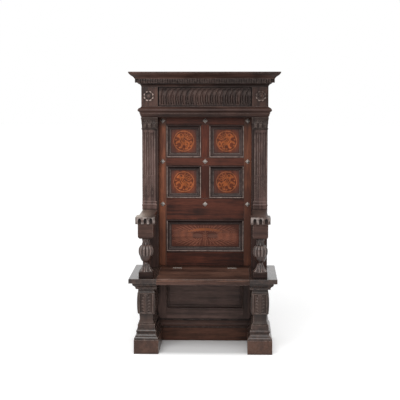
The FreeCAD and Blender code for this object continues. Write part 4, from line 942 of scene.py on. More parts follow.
class THRONE_OT_pilasters(bpy.types.Operator):
    """Flute the pilaster shafts and cable their lower part"""

    bl_idname = "throne.pilasters"
    bl_label = "Pilasters"

    def execute(self, context):
        sizes = carving()
        material = finish("pilaster", "Z")
        names = (*FLUTED, "Cabled")
        graph, take = new_tree("fluted_shaft", {**dict.fromkeys(names, FLOAT), "Middle": "NodeSocketVector"})
        board, _, _, share, aside, room, among, facing = fluted_board(graph, take, 112, 131)
        cabled = graph.math("LESS_THAN", share, take["Cabled"])
        reed = graph.root(graph.most(1 - aside * aside * 1.5)) * cabled
        sink = graph.root(graph.most(room)) * (1 - reed * 0.8) * among
        # Painted light on the shaft: its face a little lighter, painted shade in the flutes, the cabled part darker,
        # and a painted shadow under the capital
        capital_shadow = graph.ramp(share, 0.93, 1.0)
        cable_heads = graph.ramp(-share, -0.37, -0.33)
        mark = (0.5 - sink * 1.4 - cable_heads * 0.9 - capital_shadow * 1.1) * facing
        carved = graph.wire("GeometryNodeSetPosition", {
            "Geometry": board, "Offset": graph.combine(0, sink * take["Depth"], 0)})
        close_tree(graph, graph.move(graph.mark(carved, mark), Translation=take["Middle"]), material)
        for name, _ in SIDES:
            low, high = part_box(f"pilaster_shaft_{name}")
            values = dict(zip(names, (*(high - low), float(sizes.flute_count), sizes.flute_pitch, sizes.flute_width,
                                      sizes.flute_depth, sizes.flute_margin, sizes.cable_share)))
            values["Middle"] = (low + high) / 2
            shaft = grow(f"fluted_shaft_{name}", graph, values, material, 50)
            settle(shaft, "pilaster_walnut", f"pilaster_shaft_{name}")
        return {"FINISHED"}


class THRONE_OT_frieze(bpy.types.Operator):
    """Carve the bowed strigil flutes of the frieze"""

    bl_idname = "throne.frieze"
    bl_label = "Frieze"

    def execute(self, context):
        low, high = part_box("frieze_panel")
        sizes = carving()
        material = finish("deep", "Z")
        names = (*FLUTED, "Lean", "Bow")
        graph, take = new_tree("strigil_frieze", dict.fromkeys(names, FLOAT))
        board, across, up, share, aside, room, among, facing = fluted_board(graph, take, 440, 97)
        upper = graph.most(share - 0.5)
        swing = take["Lean"] * (share - 0.5) - take["Bow"] * (share * (1 - share) * 4 - 0.67 - upper * upper * 4)
        lower = 1 - graph.ramp(share, 0.5, 0.62)
        tongue = graph.ramp(1 - aside * aside * 5, 0, 0.7) * lower
        flute = graph.ramp(room, 0, 0.75) * (1 - tongue * 0.8) * among

        # The face is let into its frame at the ends and at the head
        end_gap, head_gap, soft, rebate_depth = 0.009, 0.006, 0.003, 0.013
        from_end = abs(across) - take["Width"] / 2
        from_head = up - take["Height"] / 2
        to_head = graph.ramp(from_head + head_gap, 0, soft)
        rebate = graph.most(graph.ramp(from_end + end_gap, 0, soft), to_head * 0.6) * facing
        sink = flute * take["Depth"] + rebate * rebate_depth
        bend = swing * facing * (1 - graph.ramp(from_end, -0.05, -end_gap))

        # Painted light on the frieze: a painted highlight on one side of the flutes' upper part, painted shade in the
        # flutes, along their edges and in the rebate, a painted shadow under the bed moulding at the head, and darker
        # at the foot
        sunlit = graph.ramp(aside, 0.1, 0.8) * graph.ramp(share, 0.45, 0.7)
        reach = abs(aside)
        lines = graph.ramp(reach, 0.5, 0.85) * (1 - graph.ramp(reach, 0.85, 1.2)) * (1 - graph.ramp(share, 0.35, 0.6))
        shade = graph.ramp(from_head, -0.034, -0.012) * 0.5
        shade = shade + (1 - graph.ramp(up + take["Height"] / 2, 0.004, 0.011)) * 0.6
        mark = 0.1 - lower * 0.1 - flute * 0.24 + flute * sunlit * 0.5 - lines * 0.2 - shade - rebate * 1.2
        carved = graph.wire("GeometryNodeSetPosition", {
            "Geometry": graph.mark(board, facing * mark), "Offset": graph.combine(bend, sink, 0)})
        close_tree(graph, graph.move(carved, Translation=tuple((low + high) / 2)), material)
        values = dict(zip(names, (*(high - low), float(sizes.strigil_count), sizes.strigil_pitch, sizes.strigil_width,
                                  sizes.strigil_depth, sizes.frieze_edge, sizes.strigil_lean, sizes.strigil_bow)))
        settle(grow("strigil_frieze", graph, values, material), "dark_walnut", "frieze_panel")
        return {"FINISHED"}


# Rosettes

# Where a petal starts and ends over the rosette's radius, and how much of its painted highlight and shade the
# right-hand flower keeps
PETAL_NEAR, PETAL_FAR, RIGHT_FLOWER_PAINTED_LIGHT = 0.5, 0.985, 0.3
# How far a flower lies above and outside the middle of its rosette's box
FLOWER_UP, FLOWER_OUT = 0.004, 0.006


def petal_shape(near, far, half, rise):
    """One hollowed petal along +X, its face towards +Z, with a painted highlight on its outer part and painted shade
    at its root and sides.
    """
    rows, columns = 13, 11
    points, crest = [], []
    for row in range(rows):
        share = row / (rows - 1)
        reach = near + (far - near) * share
        wide = half * (0.42 + 0.58 * math.sin(math.pi * min(share * 0.62 + 0.08, 1))) * (1 - share ** 7 * 0.55)
        for column in range(columns):
            side = -1 + 2 * column / (columns - 1)
            tip = max(share - 0.72, 0) / 0.28
            rim = max(abs(side) ** 3, tip)
            dish = rise * (0.2 + 0.3 * share + 0.5 * rim * (0.4 + 0.6 * share) - 0.4 * tip ** 4)
            points.append((reach - 0.1 * half * side * side * share, side * wide, dish))
            tip_highlight = min(max((share - 0.4) / 0.25, 0), 1) * (1 - 0.7 * side * side)
            crest.append(2.1 * tip_highlight - 1.2 * max(1 - share / 0.4, 0) - 0.5 * abs(side) ** 6)
    faces = grid_faces(rows, columns)
    under = len(points)
    points += [(x, y, 0) for x, y, _ in points]
    crest += [-1] * under
    faces += [tuple(reversed(face)) for face in grid_faces(rows, columns, first=under)]
    rim = rim_of(rows, columns)
    return points, faces + wall(rim, [under + index for index in rim]), crest


class THRONE_OT_rosettes(bpy.types.Operator):
    """Carve a rosette on each frieze block"""

    bl_idname = "throne.rosettes"
    bl_label = "Rosettes"

    def execute(self, context):
        low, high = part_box("rosettes")
        radius = (high.z - low.z) / 2
        rise = high.y - low.y
        count = carving().petal_count
        material = finish("petal", "Z")
        half = radius * math.tan(math.pi / count) * 0.7
        points, faces, crest = petal_shape(radius * PETAL_NEAR, radius * PETAL_FAR, half, rise * 0.85)
        petal = new_piece("petal", points, faces, material, crest=crest)
        graph, take = new_tree("carved_rosettes", {"Petal": OBJECT, "Petals": COUNT, "Radius": FLOAT,
                                                   "Rise": FLOAT, "Apart": FLOAT})
        source = graph.wire("GeometryNodeObjectInfo", {"Object": take["Petal"]}, "Geometry")
        spots = graph.wire("GeometryNodeMeshCircle", {"Vertices": take["Petals"], "Radius": 0.0001})
        turn = (graph.wire("GeometryNodeInputIndex") + 0.5) / take["Petals"] * (2 * math.pi)
        ring = graph.wire("GeometryNodeInstanceOnPoints", {"Points": spots, "Instance": source,
                                                           "Rotation": graph.combine(0, 0, turn)})
        dish = graph.wire("GeometryNodeMeshCone", {
            "Vertices": 48, "Radius Top": take["Radius"] * 0.55, "Radius Bottom": take["Radius"] * 0.9,
            "Depth": take["Rise"] * 0.3}, "Mesh")
        boss = graph.wire("GeometryNodeMeshUVSphere", {"Segments": 28, "Rings": 16, "Radius": 1})
        boss_half = take["Radius"] * 0.44
        boss = graph.move(boss, Scale=graph.combine(boss_half, boss_half, take["Rise"] * 0.98))
        # Painted shade in the dish round the boss; the boss a little lighter
        flower = graph.join((ring, graph.mark(dish, -0.9), graph.mark(boss, 0.2)))
        upright = graph.move(flower, Rotation=(math.pi / 2, 0, 0))
        level = (low.z + high.z) / 2 + FLOWER_UP
        close_tree(graph, graph.join(
            graph.move(upright, Translation=graph.combine(take["Apart"] * side, high.y, level)) for _, side in SIDES
        ), material)
        values = {"Petal": petal, "Petals": count, "Radius": radius, "Rise": rise,
                  "Apart": high.x - radius + FLOWER_OUT}
        flowers = grow("carved_rosettes", graph, values, material, 50)
        bpy.data.objects.remove(petal)
        # The right-hand flower keeps less of its painted highlight and shade
        for vertex, mark in zip(flowers.data.vertices, flowers.data.attributes["crest"].data):
            if vertex.co.x > 0:
                mark.value *= RIGHT_FLOWER_PAINTED_LIGHT
        trim_back(flowers, high.y)
        settle(flowers, "dark_walnut", "rosettes")
        return {"FINISHED"}


def trim_back(piece, level):
    """Cut off what would stand behind the face that carries a piece, and close the cut."""
    shape = bmesh.new()
    shape.from_mesh(piece.data)
    everything = shape.verts[:] + shape.edges[:] + shape.faces[:]
    cut = bmesh.ops.bisect_plane(shape, geom=everything, plane_co=(0, level, 0), plane_no=(0, 1, 0),
                                 clear_outer=True, dist=1e-6)
    edges = [item for item in cut["geom_cut"] if isinstance(item, bmesh.types.BMEdge)]
    bmesh.ops.holes_fill(shape, edges=[edge for edge in edges if edge.is_boundary], sides=0)
    shape.to_mesh(piece.data)
    shape.free()


# Balusters

# Level over the whole height, radius in metres: collar, stem, cup, bulb, neck and ring
BALUSTER_LINE = (
    (0.0, 0.0490), (0.012, 0.0500), (0.03, 0.0475), (0.07, 0.0380), (0.13, 0.0305), (0.19, 0.0250), (0.222, 0.0228),
    (0.231, 0.0200), (0.25, 0.0176), (0.27, 0.0176), (0.286, 0.0196), (0.295, 0.0240), (0.33, 0.0325),
    (0.38, 0.0388), (0.43, 0.0425), (0.462, 0.0446), (0.472, 0.0466), (0.51, 0.0505), (0.56, 0.0530),
    (0.62, 0.0542), (0.68, 0.0528), (0.73, 0.0486), (0.77, 0.0415), (0.795, 0.0335), (0.805, 0.0300),
    (0.82, 0.0302), (0.85, 0.0272), (0.89, 0.0248), (0.92, 0.0258), (0.95, 0.0290), (0.958, 0.0282),
    (0.963, 0.0262), (0.972, 0.0286), (0.985, 0.0292), (1.0, 0.0280),
)

# Levels of the ribbed bulb, and for each row of leaves its levels, which way its tips point, its depth and its turn
BULB = (0.466, 0.802)
LEAF_ROWS = ((0.008, 0.226, 1, 0.17, 0), (0.808, 0.957, -1, 0.19, 0.5))


def between(level, low, high, soft):
    """1 from low to high, falling to 0 over the soft distance at both ends."""
    return np.clip((level - low) / soft, 0, 1) * np.clip((high - level) / soft, 0, 1)


def baluster_shape(low, high, gadroons, leaves):
    """A turned baluster that fills a box, with a ribbed bulb and a row of leaves at its foot and at its neck."""
    rings, points_round = 150, 144
    middle = (low + high) / 2
    levels = np.linspace(0, 1, rings)
    table = np.array(BALUSTER_LINE)
    radii = np.interp(levels, table[:, 0], table[:, 1])
    turns = np.linspace(0, 2 * math.pi, points_round, endpoint=False)
    level, turn = np.meshgrid(levels, turns, indexing="ij")
    radius = np.repeat(radii[:, None], points_round, 1)
    lobe = np.abs(np.sin(turn * gadroons / 2)) ** 0.7
    bulb = between(level, *BULB, 0.02)
    radius *= 1 - bulb * 0.13 * (1 - lobe)
    # Painted highlight on the gadroons' ridges, painted shade between them
    crest = bulb * (lobe * 1.35 - 0.75)
    for foot, head, tip, depth, phase in LEAF_ROWS:
        share = np.clip((level - foot) / (head - foot), 0, 1)
        along = share if tip > 0 else 1 - share
        leaf_turn = (turn * leaves / (2 * math.pi) + phase) % 1 - 0.5
        half = 0.47 * (1 - along ** 2.2 * 0.62)
        inside = np.clip(1 - np.abs(leaf_turn) / half, 0, 1)
        blade = np.clip(inside * 3.2, 0, 1)
        rib = np.exp(-(leaf_turn / 0.045) ** 2)
        veins = 0.5 + 0.5 * np.cos((np.abs(leaf_turn) * 9 + along * 5) * 2 * math.pi)
        carved = depth * (1 - blade) + 0.035 * rib * blade + 0.03 * veins * blade * (1 - rib)
        zone = between(level, foot, head, 0.012)
        radius *= 1 - zone * carved
        # Painted highlights along the leaves' edges, painted shade on the cut-away ground and in the midribs
        edge = np.clip(1 - np.abs(inside - 0.28) / 0.22, 0, 1)
        crest = crest + zone * (edge * 1.6 * (1.15 - along) - 1.3 * (1 - blade) - 0.7 * rib * blade)
    places = (middle.x + radius * np.cos(turn), middle.y + radius * np.sin(turn), low.z + (high.z - low.z) * level)
    points = np.stack(places, -1).reshape(-1, 3)
    faces = grid_faces(rings, points_round, closed=True)
    faces.append(tuple(range(points_round - 1, -1, -1)))
    faces.append(tuple(range((rings - 1) * points_round, rings * points_round)))
    return points, faces, crest.ravel()


class THRONE_OT_balusters(bpy.types.Operator):
    """Turn and carve the balusters under the arms"""

    bl_idname = "throne.balusters"
    bl_label = "Balusters"

    def execute(self, context):
        sizes = carving()
        material = finish("turned", "Z")
        for name, _ in SIDES:
            low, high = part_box(f"baluster_{name}")
            points, faces, crest = baluster_shape(low, high, sizes.gadroon_count, sizes.leaf_count)
            piece = new_piece(f"carved_baluster_{name}", points, faces, material, 60, crest)
            settle(piece, "dark_walnut", f"baluster_{name}")
        return {"FINISHED"}


# Console panels on the legs


def console_face(u, v):
    """Height of the carved console over its back, as a share: u across from -1 to 1, v up from 0 to 1."""
    border = np.clip((np.abs(u) - 0.72) / 0.1, 0, 1)
    roll = 0.72 + 0.2 * np.sqrt(np.clip(1 - ((np.abs(u) - 0.88) / 0.15) ** 2, 0, 1))
    rails = np.clip((np.abs(v - 0.5) - 0.425) / 0.03, 0, 1)
    field = np.full_like(u, 0.42)
    half = 0.66 * np.sin(math.pi * np.clip(0.06 + 0.92 * v, 0, 1)) ** 0.62
    scallop = 1 + 0.13 * np.cos(v * 2 * math.pi * 6.5)
    reach = np.clip(1 - np.abs(u) / np.maximum(half * scallop, 1e-3), 0, 1)
    rib = np.exp(-(u / 0.07) ** 2)
    veins = 0.5 + 0.5 * np.cos((v * 6.5 - np.abs(u) * 1.5) * 2 * math.pi)
    carved = np.sqrt(np.clip(reach * 2.1, 0, 1)) * (0.36 + 0.14 * v) + 0.08 * rib - 0.1 * veins * (1 - rib)
    leaf = field + carved * np.clip(reach * 8, 0, 1)
    face = np.maximum(field, leaf)
    face = face * (1 - border) + roll * border
    return np.where(rails > 0, face * (1 - rails) + 0.8 * rails, face)


class THRONE_OT_consoles(bpy.types.Operator):
    """Carve the leafed console panels on the front of the legs"""

    bl_idname = "throne.consoles"
    bl_label = "Console panels"

    def execute(self, context):
        low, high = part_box("leg_carvings")
        columns, rows = 78, 104
        half = (high.x - min(corner.x for corner in corners_of(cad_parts["leg_carvings"]) if corner.x > 0)) / 2
        u, v = np.meshgrid(np.linspace(-1, 1, columns), np.linspace(0, 1, rows))
        heights = console_face(u, v)
        front = high.y - (high.y - low.y) * heights
        # Raised carving gets a painted highlight and hollows painted shade
        marks = crest_of(heights, 4).ravel()
        parts = []
        crest = []
        for _, side in SIDES:
            middle = side * (high.x - half)
            across = np.linspace(middle - half, middle + half, columns)
            tablet = relief(across, np.linspace(low.z, high.z, rows), front, high.y)
            parts.append(tablet)
            crest += [*marks, *np.zeros(len(tablet[0]) - len(marks))]
        piece = new_piece("carved_consoles", *merge_pieces(parts), finish("console", "Z"), 55, crest)
        settle(piece, "dark_walnut", "leg_carvings")
        return {"FINISHED"}


# Capitals

# Leaf blocks of a capital: how many, their pitch, half width and rise, and their height and foot over the capital's
BLOCKS, BLOCK_PITCH, BLOCK_HALF, BLOCK_RISE, BLOCK_TALL, BLOCK_FOOT = 3, 0.0345, 0.0125, 0.0065, 0.36, 0.145
# How far the blocks lie before the shafts' face, and how deep they are let in
BLOCK_OUT, BLOCK_DEEP = 0.003, 0.004


class THRONE_OT_capitals(bpy.types.Operator):
    """Set three small carved leaf blocks on the necking of each capital"""

    bl_idname = "throne.capitals"
    bl_label = "Capital blocks"

    def execute(self, context):
        low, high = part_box("pilaster_capital_right")
        tall = high.z - low.z
        material = finish("capital", "Z")
        columns, rows = 25, 29
        u, v = np.meshgrid(np.linspace(-1, 1, columns), np.linspace(0, 1, rows))
        dome = np.clip(1 - u ** 4, 0, 1) * np.clip(1 - (2 * v - 1) ** 6, 0, 1)
        ribs = 0.5 + 0.5 * np.cos(u * (2.2 + 1.2 * v) * math.pi * 1.6)
        rise = BLOCK_RISE * (0.35 + 0.65 * dome * (0.62 + 0.38 * ribs) * (0.7 + 0.3 * v))
        span = np.linspace(-BLOCK_HALF, BLOCK_HALF, columns)
        ups = np.linspace(0, tall * BLOCK_TALL, rows)
        points, faces = relief(span, ups, -rise, BLOCK_DEEP)
        # Leaf blocks lighter, with painted highlights on their raised parts and painted shade on their sides and back
        marks = np.clip(crest_of(rise, 3) * 0.7 + 0.25, -1, 1).ravel()
        crest = [*marks, *np.full(len(points) - len(marks), -0.6)]
        block = new_piece("leaf_block", points, faces, material, 50, crest)
        graph, take = new_tree("capital_blocks", {"Block": OBJECT, "Blocks": COUNT, "Pitch": FLOAT, "Apart": FLOAT})
        source = graph.wire("GeometryNodeObjectInfo", {"Object": take["Block"]}, "Geometry")
        rows_of_blocks = []
        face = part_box("pilaster_shaft_right")[0].y - BLOCK_OUT
        for _, side in SIDES:
            start = take["Apart"] * side - take["Pitch"] * (take["Blocks"] - 1) / 2
            row = graph.wire("GeometryNodeMeshLine", {
                "Count": take["Blocks"], "Start Location": graph.combine(start, face, low.z + tall * BLOCK_FOOT),
                "Offset": graph.combine(take["Pitch"], 0, 0)})
            rows_of_blocks.append(graph.wire("GeometryNodeInstanceOnPoints", {"Points": row, "Instance": source}))
        close_tree(graph, graph.join(rows_of_blocks), material)
        values = {"Block": block, "Blocks": BLOCKS, "Pitch": BLOCK_PITCH, "Apart": (low.x + high.x) / 2}
        blocks = grow("capital_blocks", graph, values, material, 50)
        bpy.data.objects.remove(block)
        settle(blocks, "pilaster_walnut")
        return {"FINISHED"}


# Inlays

# A griffin in a unit circle, facing left: its body, feathers by their two ends and width, bands by path and widths
GRIFFIN_BODY = (
    (-0.70, 0.40), (-0.54, 0.62), (-0.30, 0.74), (-0.08, 0.64), (-0.02, 0.40), (0.12, 0.14), (0.36, 0.02),
    (0.54, -0.20), (0.52, -0.46), (0.40, -0.60), (0.38, -0.74), (0.16, -0.80), (0.10, -0.69), (0.20, -0.60),
    (0.16, -0.45), (0.00, -0.36), (-0.10, -0.44), (-0.18, -0.64), (-0.40, -0.70), (-0.46, -0.59), (-0.31, -0.50),
    (-0.27, -0.30), (-0.38, -0.15), (-0.56, -0.17), (-0.70, -0.30), (-0.79, -0.16), (-0.62, 0.01), (-0.42, 0.07),
    (-0.38, 0.24), (-0.48, 0.34),
)
GRIFFIN_FEATHERS = (
    ((0.02, 0.34), (0.14, 0.84), 0.20), ((0.08, 0.28), (0.42, 0.74), 0.20), ((0.16, 0.20), (0.64, 0.56), 0.20),
    ((0.26, 0.12), (0.78, 0.32), 0.19), ((-0.58, -0.46), (-0.80, -0.40), 0.12), ((-0.06, -0.66), (0.04, -0.84), 0.12),
    ((-0.66, 0.16), (-0.84, 0.10), 0.12),
)
GRIFFIN_TAIL = ((0.48, -0.40), (0.68, -0.48), (0.80, -0.26), (0.70, -0.04), (0.58, -0.10), (0.64, -0.22))
GRIFFIN_LINES = (
    ((-0.42, 0.52), (-0.30, 0.58), (-0.24, 0.50), (-0.32, 0.44)), ((-0.24, 0.34), (-0.18, 0.10), (0.02, -0.10)),
    ((-0.12, 0.36), (-0.04, 0.12), (0.16, -0.06)), ((0.22, -0.18), (0.40, -0.26), (0.36, -0.44)),
    ((-0.34, 0.16), (-0.30, -0.04), (-0.18, -0.24)), ((-0.36, 0.68), (-0.20, 0.62), (-0.12, 0.46)),
    ((0.06, 0.44), (0.09, 0.58), (0.12, 0.74)), ((0.16, 0.38), (0.27, 0.52), (0.38, 0.68)),
    ((0.26, 0.28), (0.42, 0.39), (0.58, 0.50)), ((0.36, 0.17), (0.53, 0.24), (0.70, 0.30)),
    ((-0.02, 0.30), (0.12, 0.19), (0.28, 0.07)), ((0.20, -0.36), (0.32, -0.52), (0.24, -0.64)),
    ((-0.86, 0.14), (-0.88, -0.06), (-0.80, -0.28)), ((0.78, 0.02), (0.88, 0.10), (0.84, 0.26)),
    ((-0.66, -0.56), (-0.52, -0.70), (-0.30, -0.82)), ((-0.62, 0.62), (-0.48, 0.76), (-0.28, 0.84)),
)


def oval(middle, half_x, half_z, count=72):
    """Points round an oval in X and Z."""
    turns = np.linspace(0, 2 * math.pi, count, endpoint=False)
    return [(middle[0] + half_x * math.cos(t), middle[1] + half_z * math.sin(t)) for t in turns]


def leaf_outline(start, end, width):
    """A pointed leaf between two ends."""
    start, end = np.array(start), np.array(end)
    run = end - start
    aside = np.array((-run[1], run[0])) / np.hypot(*run) * width / 2
    shares = ((0, 0), (0.25, 0.75), (0.5, 1), (0.78, 0.6), (1, 0), (0.78, -0.6), (0.5, -1), (0.25, -0.75))
    return [start + run * along + aside * out for along, out in shares]


def smooth_plate(outline, front, back):
    """A plate with a smooth edge through the points of an outline."""
    return plate(smooth_line(outline, 4, True), front, back)


def lay_veneers(node, axis, veneers):
    """Set each group of veneers as one piece in its own wood."""
    for name, veneer, parts in veneers:
        settle(new_piece(name, *merge_pieces(parts), inlay_wood(veneer, axis)), "inlay", node)


# How deep a veneer is let in, how far one layer lies over the next, and a roundel's ground and ring over its radius
LET_IN, LAYER = 0.001, 0.00002
GROUND_SHARE, RING_SHARE = 0.9, 0.895


class THRONE_OT_roundels(bpy.types.Operator):
    """Lay the four roundels: ground, ring and a rampant beast"""

    bl_idname = "throne.roundels"
    bl_label = "Roundels"

    def execute(self, context):
        low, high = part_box("roundel_inlays")
        apart, levels, radius = roundel_places()
        front = low.y
        proud = front - carving().inlay_rise
        grounds, rings, beasts, lines = [], [], [], []
        for up in levels:
            for _, side in SIDES:
                middle = (side * apart, up)
                outer, ground, inner = (oval(middle, radius * share, radius * share)
                                        for share in (1, GROUND_SHARE, RING_SHARE))
                grounds.append(plate(ground, front + 10 * LAYER, high.y))
                rings.append(slab(outer, inner, proud, high.y, True))

                def seat(points):
                    return [(middle[0] - x * radius * side, middle[1] + z * radius) for x, z in points]

                beasts.append(smooth_plate(seat(GRIFFIN_BODY), proud, front + LET_IN))
                for feather in GRIFFIN_FEATHERS:
                    beasts.append(smooth_plate(seat(leaf_outline(*feather)), proud - 2 * LAYER, front + LET_IN))
                beasts.append(ribbon(seat(GRIFFIN_TAIL), [radius * 0.12, radius * 0.08], proud, front + LET_IN))
                for line in GRIFFIN_LINES:
                    lines.append(ribbon(seat(line), [radius * 0.03, radius * 0.075, radius * 0.03],
                                        proud - 6 * LAYER, front - 10 * LAYER))
        lay_veneers("roundel_inlays", "Z", (
            ("roundel_grounds", "inlay_ground", grounds), ("roundel_rings", "inlay_ring", rings),
            ("roundel_beasts", "inlay_figure", beasts), ("roundel_lines", "inlay_line", lines)))
        return {"FINISHED"}


# Right half of the lower inlay over its half height: the arched band and the stem with their widths, the oval by its
# middle and halves, the heights of the stem's leaves, and the rings of leaves that spread from the middle into the
# corners, as their number, where they start and end, and their width
ARCH = ((0.0, 0.58), (0.5, 0.55), (0.95, 0.48), (1.55, 0.36)), (0.25, 0.24, 0.2, 0.1)
STEM = ((0.0, -0.94), (0.0, -0.4), (0.0, 0.3), (0.0, 0.9)), (0.1, 0.09, 0.08, 0.04)
OVAL = (0.7, -0.02), 0.45, 0.2
STEM_LEAVES = (-0.24, -0.05, 0.14)
RAYS = ((16, 0.36, 0.61, 0.085), (18, 0.57, 0.82, 0.095), (20, 0.78, 1.0, 0.085))
# Angle over which each ring of leaves spreads
SPREAD = 140


class THRONE_OT_lower_inlay(bpy.types.Operator):
    """Lay the arched band and the leaves of the lower panel"""

    bl_idname = "throne.lower_inlay"
    bl_label = "Lower inlay"

    def execute(self, context):
        low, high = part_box("lower_inlay")
        middle = (low + high) / 2
        unit = (high.z - low.z) / 2
        reach = (high.x - low.x) / 2 / unit - 0.08
        front = low.y
        proud = front - carving().inlay_rise
        ground = plate([(low.x, low.z), (high.x, low.z), (high.x, high.z), (low.x, high.z)], front, high.y)
        bands, tendrils, shadows = [], [], []

        def seat(points, side=1):
            return [(side * a * unit, middle.z + b * unit) for a, b in points]

        def band(line, widths, side, rise):
            return ribbon(seat(line, side), [width * unit for width in widths], proud - rise, front + LET_IN)

        def leaf(start, far, width, side, layer):
            outline = seat(leaf_outline(start, far, width), side)
            return smooth_plate(outline, proud - 3 * LAYER * layer, front + LET_IN + LAYER * layer)

        tendrils.append(band(*STEM, 1, 21 * LAYER))
        for _, side in SIDES:
            bands.append(band(*ARCH, side, 2.5 * LAYER))
            shadows.append(smooth_plate(seat(oval(*OVAL, 12), side), proud, front + LET_IN))
            for layer, (count, near, far, width) in enumerate(RAYS, 3):
                for index in range(count):
                    turn = math.radians(SPREAD * (index / (count - 1) - 0.5))
                    fill = (math.cos(turn) ** 4 + math.sin(turn) ** 4) ** -0.25
                    run = fill * np.array((math.cos(turn) * reach, math.sin(turn) * 0.97))
                    tendrils.append(leaf(run * near, run * far, width, side, layer))
            for step in range(4):
                foot = 0.14 + 0.22 * step
                tendrils.append(leaf((foot, 0.68 - 0.02 * step), (foot * 1.12, 0.94 - 0.02 * step), 0.09, side, 6))
                tendrils.append(leaf((foot * 1.2, -0.48), (foot * 1.5, -0.92), 0.07, side, 6))
                tendrils.append(leaf((foot * 0.9, -0.24), (foot * 1.2, -0.5), 0.09, side, 7))
            for height in STEM_LEAVES:
                tendrils.append(leaf((0.03, height), (0.24, height + 0.15), 0.09, side, 6))
        lay_veneers("lower_inlay", "X", (
            ("lower_inlay_ground", "scroll_ground", [ground]), ("lower_inlay_band", "scroll_band", bands),
            ("lower_inlay_ovals", "scroll_shadow", shadows), ("lower_inlay_tendrils", "scroll_leaf", tendrils)))
        return {"FINISHED"}


# Stage

# Where the lamps stand, how wide they are and where the soft box looks
KEY_FROM, KEY_ANGLE = (-0.15, -1.0, 1.1), 40
FILL_FROM, FILL_ANGLE = (0.5, -1.0, 0.8), 60
BOX_FROM, BOX_TO, BOX_SIZE = (-1.0, -3.0, 2.6), (0, 0, 1.1), 1.5
FLOOR_REACH, FLOOR_GLOW = 40, 0.5
# Half sizes of the patch of floor that keeps the shadow, and how wide its edge is
SHADOW_X, SHADOW_Y, SHADOW_EDGE = 0.4, 0.2, 0.16


def lamp(name, kind, strength, place, aim=(0, 0, 0), **settings):
    """A lamp that looks from its place to its aim."""
    light = bpy.data.lights.new(name, kind)
    light.energy = strength
    for setting, value in settings.items():
        setattr(light, setting, value)
    holder = set_out(name, light)
    holder.location = place
    holder.rotation_euler = (Vector(aim) - Vector(place)).to_track_quat("-Z", "Y").to_euler()


def seen_directly(graph):
    """1 for rays that show a thing or its mirror image, 0 for those that light others."""
    path = graph.node("ShaderNodeLightPath")
    seen = [Wire(graph, path.outputs[name]) for name in ("Is Camera Ray", "Is Glossy Ray", "Is Transmission Ray")]
    return graph.least(seen[0] + seen[1] + seen[2])


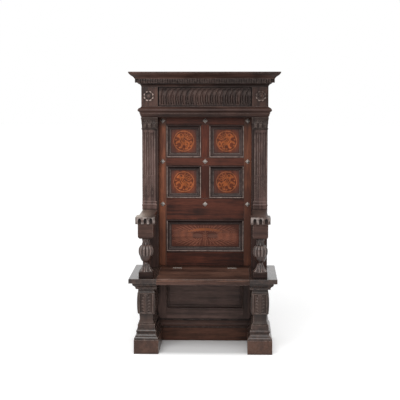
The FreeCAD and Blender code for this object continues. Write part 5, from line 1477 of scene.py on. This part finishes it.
class THRONE_OT_stage(bpy.types.Operator):
    """Set up the floor, the light and the camera"""

    bl_idname = "throne.stage"
    bl_label = "Stage"

    def execute(self, context):
        scene = context.scene
        stage = scene.throne_stage
        scene.view_settings.view_transform = "Standard"
        world = bpy.data.worlds.new("room")
        graph = bare_graph(world)
        seen = seen_directly(graph)
        level = seen + (1 - seen) * stage.sky_light
        room = graph.wire("ShaderNodeBackground", {"Color": (1, 1, 1, 1), "Strength": level})
        graph.node("ShaderNodeOutputWorld", {"Surface": room})
        scene.world = world
        lamp("key_light", "SUN", stage.key_light, KEY_FROM, angle=math.radians(KEY_ANGLE))
        lamp("fill_light", "SUN", stage.fill_light, FILL_FROM, angle=math.radians(FILL_ANGLE))
        lamp("soft_box", "AREA", stage.soft_box, BOX_FROM, BOX_TO, size=BOX_SIZE)

        floor_mesh = bpy.data.meshes.new("floor")
        corners = [(x * FLOOR_REACH, y * FLOOR_REACH, 0) for x, y in ((-1, -1), (1, -1), (1, 1), (-1, 1))]
        floor_mesh.from_pydata(corners, [], [(0, 1, 2, 3)])
        floor = set_out("floor", floor_mesh)
        material = bpy.data.materials.new("pale_floor")
        graph = bare_graph(material)
        matt = graph.wire("ShaderNodeBsdfDiffuse", {"Color": (0.8, 0.8, 0.8, 1)})
        x, y, _ = graph.split(graph.place())
        beside = graph.most(abs(x) - SHADOW_X)
        before = graph.most(abs(y) - SHADOW_Y)
        away = graph.ramp(graph.root(beside * beside + before * before), 0, SHADOW_EDGE) * seen_directly(graph)
        glow = graph.wire("ShaderNodeEmission", {"Color": graph.combine(away, away, away), "Strength": FLOOR_GLOW})
        graph.node("ShaderNodeOutputMaterial", {"Surface": graph.wire("ShaderNodeAddShader", {0: matt, 1: glow})})
        floor_mesh.materials.append(material)

        lens = bpy.data.cameras.new("camera")
        lens.lens = stage.lens
        lens.sensor_width = 36
        lens.clip_end = 200
        camera = set_out("camera", lens)
        camera.location = stage.camera_place
        camera.rotation_euler = stage.camera_turn
        scene.camera = camera
        return {"FINISHED"}


OPERATORS = (THRONE_OT_stage, THRONE_OT_carcass, THRONE_OT_cornice, THRONE_OT_panel_beads, THRONE_OT_pilasters,
             THRONE_OT_frieze, THRONE_OT_rosettes, THRONE_OT_balusters, THRONE_OT_consoles, THRONE_OT_capitals,
             THRONE_OT_roundels, THRONE_OT_lower_inlay)


class THRONE_PT_panel(bpy.types.Panel):
    """The throne's pieces and settings"""

    bl_idname = "THRONE_PT_panel"
    bl_label = "Throne"
    bl_space_type = "VIEW_3D"
    bl_region_type = "UI"
    bl_category = "Throne"

    def draw(self, context):
        layout = self.layout
        for operator in OPERATORS:
            layout.operator(operator.bl_idname)
        for group in (context.scene.throne_finishes, context.scene.throne_carving, context.scene.throne_stage):
            box = layout.box()
            for name in group.__annotations__:
                box.prop(group, name)


CLASSES = (ThroneFinishes, ThroneCarving, ThroneStage, *OPERATORS, THRONE_PT_panel)


def register():
    for kind in CLASSES:
        bpy.utils.register_class(kind)
    bpy.types.Scene.throne_finishes = PointerProperty(type=ThroneFinishes)
    bpy.types.Scene.throne_carving = PointerProperty(type=ThroneCarving)
    bpy.types.Scene.throne_stage = PointerProperty(type=ThroneStage)


def unregister():
    del bpy.types.Scene.throne_stage
    del bpy.types.Scene.throne_carving
    del bpy.types.Scene.throne_finishes
    for kind in reversed(CLASSES):
        bpy.utils.unregister_class(kind)


def main():
    register()
    for operator in OPERATORS:
        family, name = operator.bl_idname.split(".")
        getattr(getattr(bpy.ops, family), name)()


if __name__ == "__main__":
    main()
